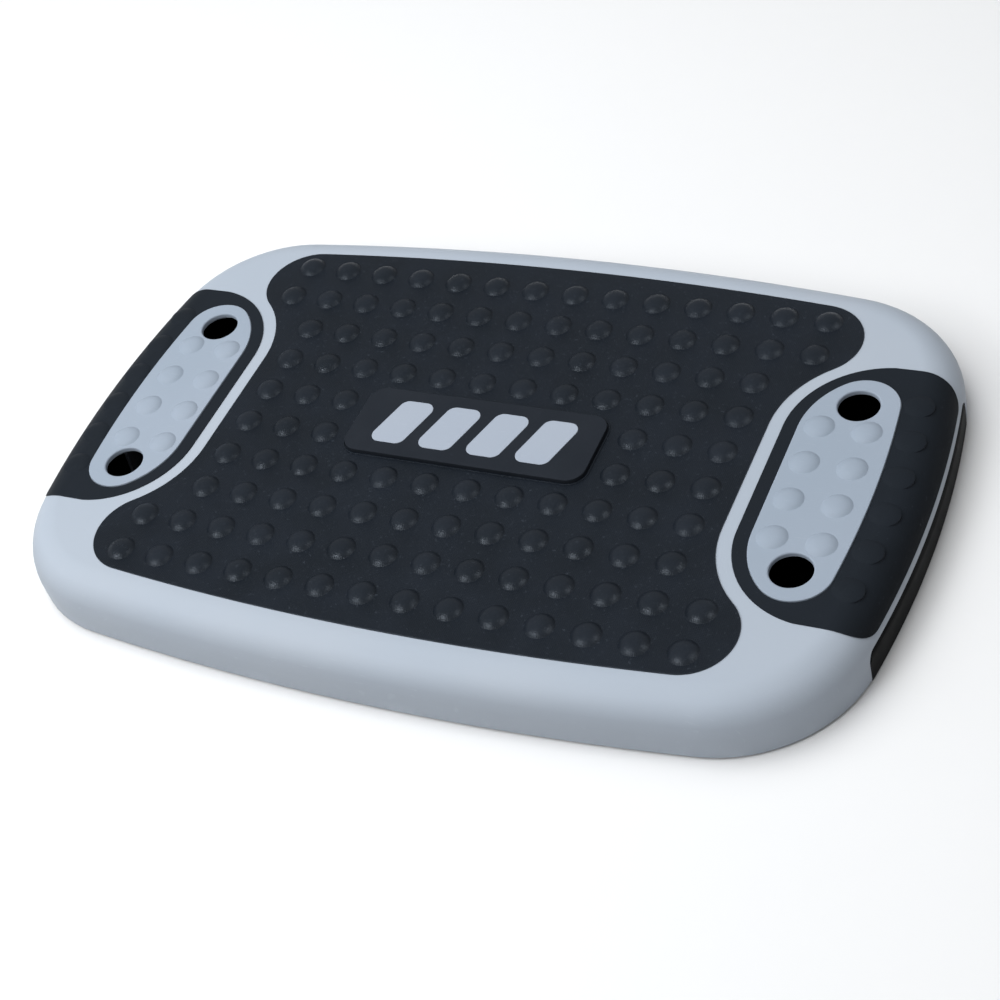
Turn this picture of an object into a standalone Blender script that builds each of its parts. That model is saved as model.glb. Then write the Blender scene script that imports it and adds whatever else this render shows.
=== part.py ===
# Aerobic step: a ribbed plastic deck with a rubber tread, rubber end grips, holed grip
# panels and two fold-out legs. Metres, +Z up, +X along the deck, origin on the floor
# under its middle. Right-hand pieces are modelled and turned half a circle for the left.

import math

import bmesh
import bpy
from mathutils import Matrix, Vector

# Deck moulding
DECK_LENGTH = 0.6784
DECK_WIDTH = 0.4378
DECK_THICKNESS = 0.044
END_ARC_RADIUS = 0.775
SIDE_ARC_RADIUS = 2.13
CORNER_RADIUS = 0.105
EDGE_ROUND = 0.028
SIDE_WALL = 0.003
TOP_WALL = 0.004
RIM_CLEARANCE = 0.002
RIB_THICKNESS = 0.0025
RIB_PITCH = 0.062
EDGE_RIB_PITCH = 0.05
RIB_RECESS = 0.006

# Tread mat and its domes
MAT_SIDE_MARGIN = 0.0314
MAT_SIDE_RADIUS = 2.295
MAT_LOBE_RADIUS = 0.037
MAT_END_MARGIN = 0.0105
MAT_SINK = 0.0015
MAT_PROUD = 0.001
DOME_PITCH_X = 0.034
DOME_PITCH_Y = 0.0353
DOME_DIAMETER = 0.0215
DOME_HEIGHT = 0.0048
DOME_MARGIN = 0.001

# Name plate with its plain inlays
PLATE_LENGTH = 0.196
PLATE_WIDTH = 0.066
PLATE_ROUND = 0.013
PLATE_SINK = 0.001
PLATE_PROUD = 0.0035
PLATE_EDGE_ROUND = 0.001
INLAY_COUNT = 4
INLAY_WIDTH = 0.029
INLAY_HEIGHT = 0.044
INLAY_PITCH = 0.0395
INLAY_SLANT = 0.3
INLAY_ROUND = 0.0075
INLAY_SINK = 0.0012
INLAY_PROUD = 0.0003

# Rubber end grips
GRIP_DEPTH = 0.1187
GRIP_WIDTH = 0.241
GRIP_CORNER = 0.070
GRIP_LOW_EDGE = 0.028
GRIP_SINK = 0.0013
GRIP_PROUD = 0.0007
GRIP_LOW_CORNER = 0.021
GRIP_DOME_COUNT = 6
GRIP_DOME_INSET = 0.0264
GRIP_DOME_PITCH = 0.0342
GRIP_DOME_DIAMETER = 0.0215
GRIP_DOME_HEIGHT = 0.002
GRIP_DOME_SKIRT = 0.003
GRIP_DOME_SINK = 0.0004
GRIP_DOME_LEAN = math.radians(3)

# Grip panels with domes and round holes
PANEL_INSET = 0.0382
PANEL_DEPTH = 0.0698
PANEL_END_MARGIN = 0.0165
PANEL_OUTER_CORNER = 0.027
PANEL_INNER_CORNER = 0.062
PANEL_SINK = 0.002
PANEL_PROUD = 0.0018
PANEL_DOME_INSET = 0.0153
PANEL_DOME_FROM_HOLE = 0.025
PANEL_DOME_HEIGHT = 0.0028
HOLE_DIAMETER = 0.030
HOLE_FROM_INNER_EDGE = 0.0363
HOLE_FROM_PANEL_END = 0.0261
HOLE_RELIEF = 0.002

# Fold-out legs
END_SIDE_MARGIN = 0.0989
END_OPENING_HEIGHT = 0.023
END_OPENING_ROUND = 0.008
HINGE_INSET = 0.0302
HINGE_HEIGHT = 0.006
LEG_REACH = 0.111
LEG_OPEN_ANGLE = math.radians(97)
LEG_ARM_WIDTH = 0.021
LEG_ARM_HEIGHT = 0.020
LEG_FOOT_DEPTH = 0.018
LEG_WEB = 0.003
LEG_FLOOR_GAP = 0.001
LEG_SIDE_GAP = 0.0004
LEG_POCKET_WALL = 0.003
SOLE_THICKNESS = 0.004
HEEL_CLEARANCE = 0.0005
LIP_EDGE = 0.0012
WELL_CLEARANCE = 0.001
WELL_END_CLEARANCE = 0.004
SWEEP_SIDE_GAP = 0.0001
STOP_WIDTH = 0.11
STOP_THICKNESS = 0.0025

# Hinges
ROD_DIAMETER = 0.008
ROD_CLEARANCE = 0.0003
ROD_SEAT = 0.012
BOSS_LENGTH = 0.016
BOSS_HALF_WIDTH = 0.0155
CAP_THICKNESS = 0.0025
CAP_HALF_WIDTH = 0.0135
CAP_SCREW_OFFSET = 0.0078
CAP_SCREW_STAGGER = 0.003

# Screws and feet
SCREW_DIAMETER = 0.0035
SCREW_HEAD_DIAMETER = 0.0068
SCREW_LENGTH = 0.012
PANEL_SCREW_BITE = 0.0032
PANEL_SCREW_HEAD = 0.0024
PANEL_SCREW_CROWN = 0.0054
FOOT_INSET_X = 0.080
FOOT_INSET_Y = 0.058
FOOT_DIAMETER = 0.026
FOOT_HEIGHT = 0.0045
FOOT_STEM_DIAMETER = 0.009
FOOT_STEM_LENGTH = 0.009
FOOT_BOSS_WALL = 0.004
FOOT_EDGE = 0.0009

# Gap between pieces that touch, and how finely round shapes are divided
GAP = 0.0003
TINY = 0.00001
END_STEPS = 4
CORNER_STEPS = 8
SIDE_STEPS = 4
EDGE_SEGMENTS = 5
ROUND_STEPS = 24
DOME_SIDES = 8
DOME_RINGS = (0, 0.5, 0.8, 1)
DOME_FLATNESS = 3
SCREW_STEPS = 8
FOOT_STEPS = 16
BARREL_STEPS = 40
REACH = 0.05

# Places that follow from the sizes
HALF_LENGTH = DECK_LENGTH / 2
HALF_WIDTH = DECK_WIDTH / 2
END_OPENING_WIDTH = DECK_WIDTH - 2 * END_SIDE_MARGIN
DECK_TOP = RIM_CLEARANCE + DECK_THICKNESS
INNER_TOP = DECK_TOP - TOP_WALL
MAT_TOP = DECK_TOP + MAT_PROUD
PLATE_TOP = MAT_TOP + PLATE_PROUD
PANEL_TOP = DECK_TOP + PANEL_PROUD
END_CENTRE = (HALF_LENGTH - END_ARC_RADIUS, 0.0)
SIDE_CENTRE = (0.0, HALF_WIDTH - SIDE_ARC_RADIUS)
GRIP_INNER_X = HALF_LENGTH - GRIP_DEPTH
PANEL_OUTER_X = HALF_LENGTH - PANEL_INSET
PANEL_INNER_X = PANEL_OUTER_X - PANEL_DEPTH
PANEL_LENGTH = GRIP_WIDTH - 2 * PANEL_END_MARGIN
HOLE_X = PANEL_INNER_X + HOLE_FROM_INNER_EDGE
HOLE_Y = PANEL_LENGTH / 2 - HOLE_FROM_PANEL_END
PANEL_DOME_PITCH = (HOLE_Y - PANEL_DOME_FROM_HOLE) / 1.5
HINGE_X = HALF_LENGTH - HINGE_INSET
HINGE_Z = RIM_CLEARANCE + HINGE_HEIGHT
LIP_Z = RIM_CLEARANCE + END_OPENING_HEIGHT
HEEL_TOP = LIP_Z - GAP
LEG_HALF_WIDTH = END_OPENING_WIDTH / 2 - LEG_SIDE_GAP
ARM_INNER_Y = LEG_HALF_WIDTH - LEG_ARM_WIDTH
ARM_TOP = LEG_FLOOR_GAP + LEG_ARM_HEIGHT
WELL_HALF_WIDTH = END_OPENING_WIDTH / 2 + WELL_CLEARANCE
SOLE_LEAN = LEG_OPEN_ANGLE - math.pi / 2
WELL_INNER_X = HINGE_X - LEG_REACH / math.cos(SOLE_LEAN) - WELL_END_CLEARANCE
ROD_HALF_LENGTH = WELL_HALF_WIDTH + ROD_SEAT
BOSS_FOOT = HINGE_Z - ROD_DIAMETER / 2
CAP_TOP = BOSS_FOOT - GAP
CAP_LOW = CAP_TOP - CAP_THICKNESS
CAP_Y = WELL_HALF_WIDTH + BOSS_LENGTH / 2
SCREW_FACE = CAP_LOW + GAP
FOOT_X = HALF_LENGTH - FOOT_INSET_X
FOOT_Y = HALF_WIDTH - FOOT_INSET_Y
SCREW_HOLE_RADIUS = SCREW_DIAMETER / 2 + GAP
CAP_SCREWS = ((-CAP_SCREW_OFFSET, CAP_SCREW_STAGGER), (CAP_SCREW_OFFSET, -CAP_SCREW_STAGGER))

# Turns an outline drawn flat so that its Y stands up and it runs along X
UPRIGHT = Matrix.Rotation(math.pi / 2, 4, "Z") @ Matrix.Rotation(math.pi / 2, 4, "X")

ENDS = (("right", 1), ("left", -1))
SIDES = (("front", -1), ("rear", 1))


def new_collection(name):
    collection = bpy.data.collections.new(name)
    bpy.context.scene.collection.children.link(collection)
    return collection


def material(name, red, green, blue, roughness, metallic=0.0):
    """A Principled material from a colour as it is seen, 0 to 255."""
    finish = bpy.data.materials.new(name)
    finish.use_nodes = True
    shader = finish.node_tree.nodes["Principled BSDF"]
    colour = [(value / 255) ** 2.2 for value in (red, green, blue)]
    shader.inputs["Base Color"].default_value = (*colour, 1)
    shader.inputs["Roughness"].default_value = roughness
    shader.inputs["Metallic"].default_value = metallic
    finish.diffuse_color = (*colour, 1)
    return finish


def arc_points(centre, radius, start, end, steps):
    """Points along an arc, both ends included."""
    points = []
    for index in range(steps + 1):
        angle = start + (end - start) * index / steps
        across = centre[0] + radius * math.cos(angle)
        points.append((across, centre[1] + radius * math.sin(angle)))
    return points


def circles_meet(centre_a, radius_a, centre_b, radius_b):
    """Where two circles cross, on the left of the line from a to b."""
    apart = math.dist(centre_a, centre_b)
    along = (radius_a**2 - radius_b**2 + apart**2) / (2 * apart)
    aside = math.sqrt(max(radius_a**2 - along**2, 0))
    ahead_x = (centre_b[0] - centre_a[0]) / apart
    ahead_y = (centre_b[1] - centre_a[1]) / apart
    x = centre_a[0] + along * ahead_x - aside * ahead_y
    return (x, centre_a[1] + along * ahead_y + aside * ahead_x)


def bearing(centre, point):
    return math.atan2(point[1] - centre[1], point[0] - centre[0])


def four_quarters(quarter):
    """A closed outline from its first quarter, which runs from the X axis to the Y axis."""
    upper = quarter + [(-x, y) for x, y in reversed(quarter[:-1])]
    return upper + [(x, -y) for x, y in reversed(upper[1:-1])]


def two_halves(half):
    """A closed outline from the half above the X axis, which starts and ends on that axis."""
    return half + [(x, -y) for x, y in reversed(half[1:-1])]


def rounded_polygon(corners, radius, steps):
    """The outline of a convex polygon, listed anticlockwise, with round corners."""
    points = []
    for index, corner in enumerate(corners):
        here = Vector(corner)
        back = (Vector(corners[index - 1]) - here).normalized()
        ahead = (Vector(corners[(index + 1) % len(corners)]) - here).normalized()
        half = back.angle(ahead) / 2
        centre = here + (back + ahead).normalized() * radius / math.sin(half)
        start = bearing(centre, here + back * radius / math.tan(half))
        points += arc_points(centre, radius, start, start + math.pi - 2 * half, steps)
    return points


def rectangle(low_x, low_y, high_x, high_y):
    return [(low_x, low_y), (high_x, low_y), (high_x, high_y), (low_x, high_y)]


def circle(x, y, radius, steps=ROUND_STEPS):
    return arc_points((x, y), radius, 0, math.tau, steps)[:-1]


def deck_outline(inset=0.0):
    """The deck seen from above, or a line that runs inside it at a steady distance."""
    corner = circles_meet(
        END_CENTRE, END_ARC_RADIUS - CORNER_RADIUS, SIDE_CENTRE, SIDE_ARC_RADIUS - CORNER_RADIUS
    )
    first = bearing(END_CENTRE, corner)
    second = bearing(SIDE_CENTRE, corner)
    quarter = arc_points(END_CENTRE, END_ARC_RADIUS - inset, 0, first, END_STEPS)
    quarter += arc_points(corner, CORNER_RADIUS - inset, first, second, CORNER_STEPS)[1:]
    quarter += arc_points(SIDE_CENTRE, SIDE_ARC_RADIUS - inset, second, math.pi / 2, SIDE_STEPS)[1:]
    return four_quarters(quarter)


def deck_end_x(y):
    """How far the end of the deck reaches at a distance from its middle line."""
    return END_CENTRE[0] + math.sqrt(END_ARC_RADIUS**2 - y**2)


def edge_inset(height):
    """How far the rounded edge has drawn in at a height."""
    rise = max(height - (DECK_TOP - EDGE_ROUND), 0)
    return EDGE_ROUND - math.sqrt(EDGE_ROUND**2 - rise**2)


def mat_outline(grow=0.0):
    """The hourglass outline of the tread, which runs round the grips at a steady distance."""
    side_centre = (0.0, HALF_WIDTH - MAT_SIDE_MARGIN - MAT_SIDE_RADIUS)
    waist_centre = (GRIP_INNER_X + GRIP_CORNER, GRIP_WIDTH / 2 - GRIP_CORNER)
    waist_radius = GRIP_CORNER + MAT_END_MARGIN
    lobe = circles_meet(
        side_centre, MAT_SIDE_RADIUS - MAT_LOBE_RADIUS, waist_centre, waist_radius + MAT_LOBE_RADIUS
    )
    turn = bearing(waist_centre, lobe)
    side_turn = bearing(side_centre, lobe)
    quarter = [(waist_centre[0] - waist_radius + grow, 0.0)]
    quarter += arc_points(waist_centre, waist_radius - grow, math.pi, turn, 6)
    quarter += arc_points(lobe, MAT_LOBE_RADIUS + grow, turn - math.pi, side_turn, 8)[1:]
    quarter += arc_points(side_centre, MAT_SIDE_RADIUS + grow, side_turn, math.pi / 2, 4)[1:]
    return four_quarters(quarter)


def grip_outline(grow=0.0):
    """The rubber grip seen from above, run out past the end of the deck."""
    half = GRIP_WIDTH / 2
    centre = (GRIP_INNER_X + GRIP_CORNER, half - GRIP_CORNER)
    outer = HALF_LENGTH + REACH
    points = [(outer, 0.0), (outer, half + grow)]
    points += arc_points(centre, GRIP_CORNER + grow, math.pi / 2, math.pi, 8)
    points.append((GRIP_INNER_X - grow, 0.0))
    return two_halves(points)


def grip_front_mesh(name, grow=0.0):
    """The grip seen from its end, with rounded lower corners, run along the deck."""
    half = GRIP_WIDTH / 2 + grow
    low_edge = RIM_CLEARANCE + GRIP_LOW_EDGE - grow
    corners = rectangle(-half, low_edge, half, DECK_TOP + REACH)
    outline = rounded_polygon(corners, GRIP_LOW_CORNER + grow, 5)
    mesh = outline_mesh(name, [outline], GRIP_INNER_X - REACH, HALF_LENGTH + REACH)
    mesh.transform(UPRIGHT)
    return mesh


def panel_outline(grow=0.0):
    """The grip panel seen from above; its outer side runs along the end of the deck."""
    half = PANEL_LENGTH / 2
    side_radius = END_ARC_RADIUS - PANEL_INSET
    outer_y = half - PANEL_OUTER_CORNER
    outer_x = END_CENTRE[0] + math.sqrt((side_radius - PANEL_OUTER_CORNER) ** 2 - outer_y**2)
    turn = bearing(END_CENTRE, (outer_x, outer_y))
    inner_x = PANEL_INNER_X + PANEL_INNER_CORNER
    apart = PANEL_INNER_CORNER - PANEL_OUTER_CORNER
    aside = math.sqrt(max(apart**2 - (inner_x - outer_x) ** 2, 0))
    inner = (inner_x, outer_y - aside)
    blend = bearing(inner, (outer_x, outer_y))
    points = arc_points(END_CENTRE, side_radius + grow, 0, turn, 2)
    points += arc_points((outer_x, outer_y), PANEL_OUTER_CORNER + grow, turn, blend, 7)[1:]
    points += arc_points(inner, PANEL_INNER_CORNER + grow, blend, math.pi, 6)[1:]
    points.append((PANEL_INNER_X - grow, 0.0))
    return two_halves(points)


def plate_outline(grow=0.0):
    half_length = PLATE_LENGTH / 2 + grow
    half_width = PLATE_WIDTH / 2 + grow
    corners = rectangle(-half_length, -half_width, half_length, half_width)
    return rounded_polygon(corners, PLATE_ROUND + grow, 5)


def inlay_outlines(grow=0.0):
    """Plain slanted pads in a row, where a maker would put a name."""
    outlines = []
    half_height = INLAY_HEIGHT / 2 + grow
    half_width = INLAY_WIDTH / 2 + grow
    lean = INLAY_SLANT * half_height
    for index in range(INLAY_COUNT):
        x = (index - (INLAY_COUNT - 1) / 2) * INLAY_PITCH
        corners = [
            (x - half_width - lean, -half_height),
            (x + half_width - lean, -half_height),
            (x + half_width + lean, half_height),
            (x - half_width + lean, half_height),
        ]
        outlines.append(rounded_polygon(corners, INLAY_ROUND + grow, 4))
    return outlines


def inner_distance(point, outline):
    """How far a point lies inside an outline; negative outside."""
    inside = False
    nearest = math.inf
    for index, end in enumerate(outline):
        start = outline[index - 1]
        edge = Vector(end) - Vector(start)
        away = Vector(point) - Vector(start)
        share = min(max(away.dot(edge) / edge.length_squared, 0), 1)
        nearest = min(nearest, (away - edge * share).length)
        if (start[1] > point[1]) != (end[1] > point[1]):
            crossing = start[0] + (point[1] - start[1]) * edge.x / edge.y
            if crossing > point[0]:
                inside = not inside
    return nearest if inside else -nearest


def tidy_mesh(mesh):
    """Welds loose seams, joins flat faces into one and points every face outwards."""
    shape = bmesh.new()
    shape.from_mesh(mesh)
    bmesh.ops.remove_doubles(shape, verts=shape.verts, dist=TINY)
    bmesh.ops.dissolve_limit(
        shape, angle_limit=math.radians(0.1), verts=shape.verts, edges=shape.edges
    )
    bmesh.ops.recalc_face_normals(shape, faces=shape.faces)
    shape.to_mesh(mesh)
    shape.free()


def baked_mesh(holder):
    """The finished mesh of a curve or of an object with modifiers, which is then removed."""
    bpy.context.scene.collection.objects.link(holder)
    graph = bpy.context.evaluated_depsgraph_get()
    mesh = bpy.data.meshes.new_from_object(holder.evaluated_get(graph))
    mesh.transform(holder.matrix_world)
    bpy.data.objects.remove(holder)
    tidy_mesh(mesh)
    return mesh


def outline_mesh(name, loops, low, high):
    """A flat solid between two heights; the first loop is its rim, the others are holes."""
    curve = bpy.data.curves.new(name, "CURVE")
    curve.dimensions = "2D"
    curve.fill_mode = "BOTH"
    curve.extrude = (high - low) / 2
    for loop in loops:
        spline = curve.splines.new("POLY")
        spline.points.add(len(loop) - 1)
        spline.use_cyclic_u = True
        for point, (x, y) in zip(spline.points, loop):
            point.co = (x, y, 0, 1)
    mesh = baked_mesh(bpy.data.objects.new(name, curve))
    mesh.transform(Matrix.Translation((0, 0, (low + high) / 2)))
    return mesh


def turned_mesh(name, profile, steps=ROUND_STEPS):
    """A solid turned about Z from (radius, height) points that run down its outer side."""
    mesh = bpy.data.meshes.new(name)
    points = [(radius, 0, height) for radius, height in profile]
    mesh.from_pydata(points, [(index, index + 1) for index in range(len(points) - 1)], [])
    holder = bpy.data.objects.new(name, mesh)
    screw = holder.modifiers.new("turned", "SCREW")
    screw.angle = math.tau
    screw.steps = steps
    screw.render_steps = steps
    screw.use_merge_vertices = True
    screw.merge_threshold = TINY
    return baked_mesh(holder)


def boxes_mesh(name, boxes):
    """Separate boxes from their lowest and highest corners."""
    shape = bmesh.new()
    for low, high in boxes:
        size = [top - bottom for bottom, top in zip(low, high)]
        centre = [(top + bottom) / 2 for bottom, top in zip(low, high)]
        place = Matrix.Translation(centre) @ Matrix.Diagonal((*size, 1))
        bmesh.ops.create_cube(shape, size=1, matrix=place)
    mesh = bpy.data.meshes.new(name)
    shape.to_mesh(mesh)
    shape.free()
    return mesh


def group_mesh(name, source, places):
    """Separate copies of a mesh at a list of places."""
    shape = bmesh.new()
    for place in places:
        copied = source.copy()
        copied.transform(place)
        shape.from_mesh(copied)
        bpy.data.meshes.remove(copied)
    mesh = bpy.data.meshes.new(name)
    shape.to_mesh(mesh)
    shape.free()
    return mesh


def place_object(name, mesh, end=1, x=0.0, y=0.0, z=0.0):
    """An object at a place on the right-hand end, or turned round to the left-hand end."""
    placed = bpy.data.objects.new(name, mesh)
    placed.location = (x * end, y * end, z)
    placed.rotation_euler.z = 0 if end > 0 else math.pi
    return placed


def add_part(name, mesh, finish, end=1, x=0.0, y=0.0, z=0.0, smooth=False):
    part = place_object(name, mesh, end, x, y, z)
    parts.objects.link(part)
    if not mesh.materials:
        mesh.materials.append(finish)
    if smooth:
        mesh.shade_smooth()
        mesh.set_sharp_from_angle(angle=math.radians(35))
    return part


def add_cutter(name, mesh, end=1, x=0.0, y=0.0, z=0.0):
    cutter = place_object(name, mesh, end, x, y, z)
    cutters.objects.link(cutter)
    cutter.hide_render = True
    cutter.display_type = "WIRE"
    return cutter


def combine(part, other, operation):
    """Adds a Boolean of another object: UNION, DIFFERENCE or INTERSECT."""
    modifier = part.modifiers.new(f"{operation.lower()} {other.name}", "BOOLEAN")
    modifier.operation = operation
    modifier.solver = "EXACT"
    modifier.object = other


def round_edges(part, height, radius, segments):
    """Rounds the outer edges that lie at one height of a part's own mesh."""
    shape = bmesh.new()
    shape.from_mesh(part.data)
    weight = shape.edges.layers.float.new("bevel_weight_edge")
    for edge in shape.edges:
        level = all(abs(vertex.co.z - height) < TINY for vertex in edge.verts)
        if level and edge.calc_face_angle() > math.radians(60):
            edge[weight] = 1.0
    shape.to_mesh(part.data)
    shape.free()
    bevel = part.modifiers.new("rounded edge", "BEVEL")
    bevel.limit_method = "WEIGHT"
    bevel.width = radius
    bevel.segments = segments


def deck_form(name, inset, low):
    """A cutter shaped like the deck, a steady distance inside (or outside) its surface."""
    top = DECK_TOP - inset
    form = add_cutter(name, outline_mesh(name, [deck_outline(inset)], low, top))
    round_edges(form, top, EDGE_ROUND - inset, EDGE_SEGMENTS)
    return form


def hollow_form():
    """The room inside the deck's walls, with its thicker top wall."""
    mesh = outline_mesh("hollow_form", [deck_outline(SIDE_WALL)], -REACH, INNER_TOP)
    form = add_cutter("hollow_form", mesh)
    round_edges(form, INNER_TOP, EDGE_ROUND - SIDE_WALL, EDGE_SEGMENTS)
    return form


def cell_edges(low, high, pitch):
    """Rib lines between two walls, as near as can be to the pitch."""
    count = max(1, round((high - low) / pitch))
    return [low + (high - low) * index / count for index in range(count + 1)]


def rib_bays():
    """The boxes between the ribs, and the two wells that the legs fold into."""
    half_rib = RIB_THICKNESS / 2
    well_line = WELL_INNER_X - half_rib
    side_line = WELL_HALF_WIDTH + half_rib
    middle_x = cell_edges(-well_line, well_line, RIB_PITCH)
    middle_y = cell_edges(-side_line, side_line, RIB_PITCH)
    outer_y = cell_edges(side_line, HALF_WIDTH, EDGE_RIB_PITCH)
    step = middle_x[1] - middle_x[0]
    extra = math.floor((HALF_LENGTH - well_line) / step - 0.5)
    outward = [well_line + step * (index + 1) for index in range(extra)]
    side_x = [-HALF_LENGTH, *[-x for x in reversed(outward)], *middle_x, *outward, HALF_LENGTH]
    bays = []
    for west, east in zip(middle_x, middle_x[1:]):
        for south, north in zip(middle_y, middle_y[1:]):
            bays.append((west, east, south, north))
    for west, east in zip(side_x, side_x[1:]):
        for south, north in zip(outer_y, outer_y[1:]):
            bays.append((west, east, south, north))
            bays.append((west, east, -north, -south))
    boxes = []
    for west, east, south, north in bays:
        low = (west + half_rib, south + half_rib, -REACH / 2)
        boxes.append((low, (east - half_rib, north - half_rib, DECK_TOP)))
    for end in (1, -1):
        near, far = sorted((end * WELL_INNER_X, end * HALF_LENGTH))
        low = (near, -WELL_HALF_WIDTH, -REACH / 2)
        boxes.append((low, (far, WELL_HALF_WIDTH, DECK_TOP)))
    return boxes


def opening_edge():
    """Points from the middle of the end opening's upper edge to the foot of its round corner."""
    straight = END_OPENING_WIDTH / 2 - END_OPENING_ROUND
    points = [(straight * index / 4, LIP_Z) for index in range(4)]
    centre = (straight, LIP_Z - END_OPENING_ROUND)
    return points + arc_points(centre, END_OPENING_ROUND - SWEEP_SIDE_GAP, math.pi / 2, 0, 4)


def hinge_sweep(name, clearance):
    """The barrel that the leg's root turns in, fitted to the curved end of the deck."""
    half = []
    for y, z in opening_edge():
        lip_x = deck_end_x(y) - edge_inset(z) - LIP_EDGE
        half.append((math.hypot(lip_x - HINGE_X, z - HINGE_Z) - clearance, y))
    end_y = half[-1][1]
    outward = [(radius, -y) for radius, y in half[1:]]
    profile = [(0.0, end_y), *reversed(half), *outward, (0.0, -end_y)]
    mesh = turned_mesh(name, profile, BARREL_STEPS)
    mesh.transform(Matrix.Rotation(math.pi / 2, 4, "X"))
    return mesh


def cylinder_mesh(name, radius, low, high, axis="Z", steps=ROUND_STEPS):
    shape = bmesh.new()
    place = Matrix.Translation((0, 0, (low + high) / 2))
    if axis == "Y":
        place = Matrix.Rotation(-math.pi / 2, 4, "X") @ place
    bmesh.ops.create_cone(
        shape, cap_ends=True, segments=steps, radius1=radius, radius2=radius,
        depth=high - low, matrix=place,
    )
    mesh = bpy.data.meshes.new(name)
    shape.to_mesh(mesh)
    shape.free()
    return mesh


def dome_mesh(name, diameter, height, sides=DOME_SIDES, skirt=GAP):
    """A round button with a flattish top that stands on Z = 0, with a straight skirt below it."""
    radius = diameter / 2
    profile = [(radius * share, height * (1 - share**DOME_FLATNESS)) for share in DOME_RINGS]
    profile += [(radius, -skirt), (0.0, -skirt)]
    return turned_mesh(name, profile, sides)


def countersunk_profile(length, spread=0.0):
    """A screw with its flat head at Z = 0, or the hole for it, which is wider all round."""
    head = SCREW_HEAD_DIAMETER / 2 + spread
    shank = SCREW_DIAMETER / 2 + spread
    neck = SCREW_HEAD_DIAMETER / 2 - SCREW_DIAMETER / 2
    rim = 3 * spread
    return [(0.0, rim), (head, rim), (head, -GAP), (shank, -neck - GAP), (shank, -length - spread),
            (0.0, -length - spread)]


def build_deck(finish):
    top_form = outline_mesh("deck_shell", [deck_outline()], RIM_CLEARANCE, DECK_TOP)
    deck = add_part("deck_shell", top_form, finish)
    round_edges(deck, DECK_TOP, EDGE_ROUND, EDGE_SEGMENTS)

    rib_foot = RIM_CLEARANCE + RIB_RECESS
    recess = [((-HALF_LENGTH, -HALF_WIDTH, -REACH), (HALF_LENGTH, HALF_WIDTH, rib_foot))]
    bays = add_cutter("rib_bays", boxes_mesh("rib_bays", rib_bays()))
    combine(bays, add_cutter("rib_recess", boxes_mesh("rib_recess", recess)), "UNION")
    combine(bays, hollow_form(), "INTERSECT")
    combine(deck, bays, "DIFFERENCE")
    add_deck_bosses(deck)
    cut_deck_ends(deck)
    cut_deck_top(deck)
    return deck


def add_deck_bosses(deck):
    """Blocks that hold the hinge rods, and posts for the rubber feet."""
    middle_of_wall = deck_form("boss_limit", SIDE_WALL / 2, -REACH)
    blocks = []
    posts = []
    post_radius = FOOT_STEM_DIAMETER / 2 + FOOT_BOSS_WALL
    post_foot = RIM_CLEARANCE + FOOT_HEIGHT
    post = cylinder_mesh("foot_post", post_radius, post_foot, INNER_TOP + TOP_WALL / 2, steps=FOOT_STEPS)
    for _, end in ENDS:
        near, far = sorted((end * (HINGE_X - BOSS_HALF_WIDTH), end * (HINGE_X + BOSS_HALF_WIDTH)))
        for _, side in SIDES:
            inner = WELL_HALF_WIDTH
            south, north = sorted((side * inner, side * (inner + BOSS_LENGTH)))
            top = INNER_TOP + TOP_WALL / 2
            blocks.append(((near, south, BOSS_FOOT), (far, north, top)))
            posts.append(Matrix.Translation((end * FOOT_X, side * FOOT_Y, 0)))
    hinge_blocks = add_cutter("hinge_blocks", boxes_mesh("hinge_blocks", blocks))
    combine(hinge_blocks, middle_of_wall, "INTERSECT")
    combine(deck, hinge_blocks, "UNION")
    combine(deck, add_cutter("foot_posts", group_mesh("foot_posts", post, posts)), "UNION")


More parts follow.
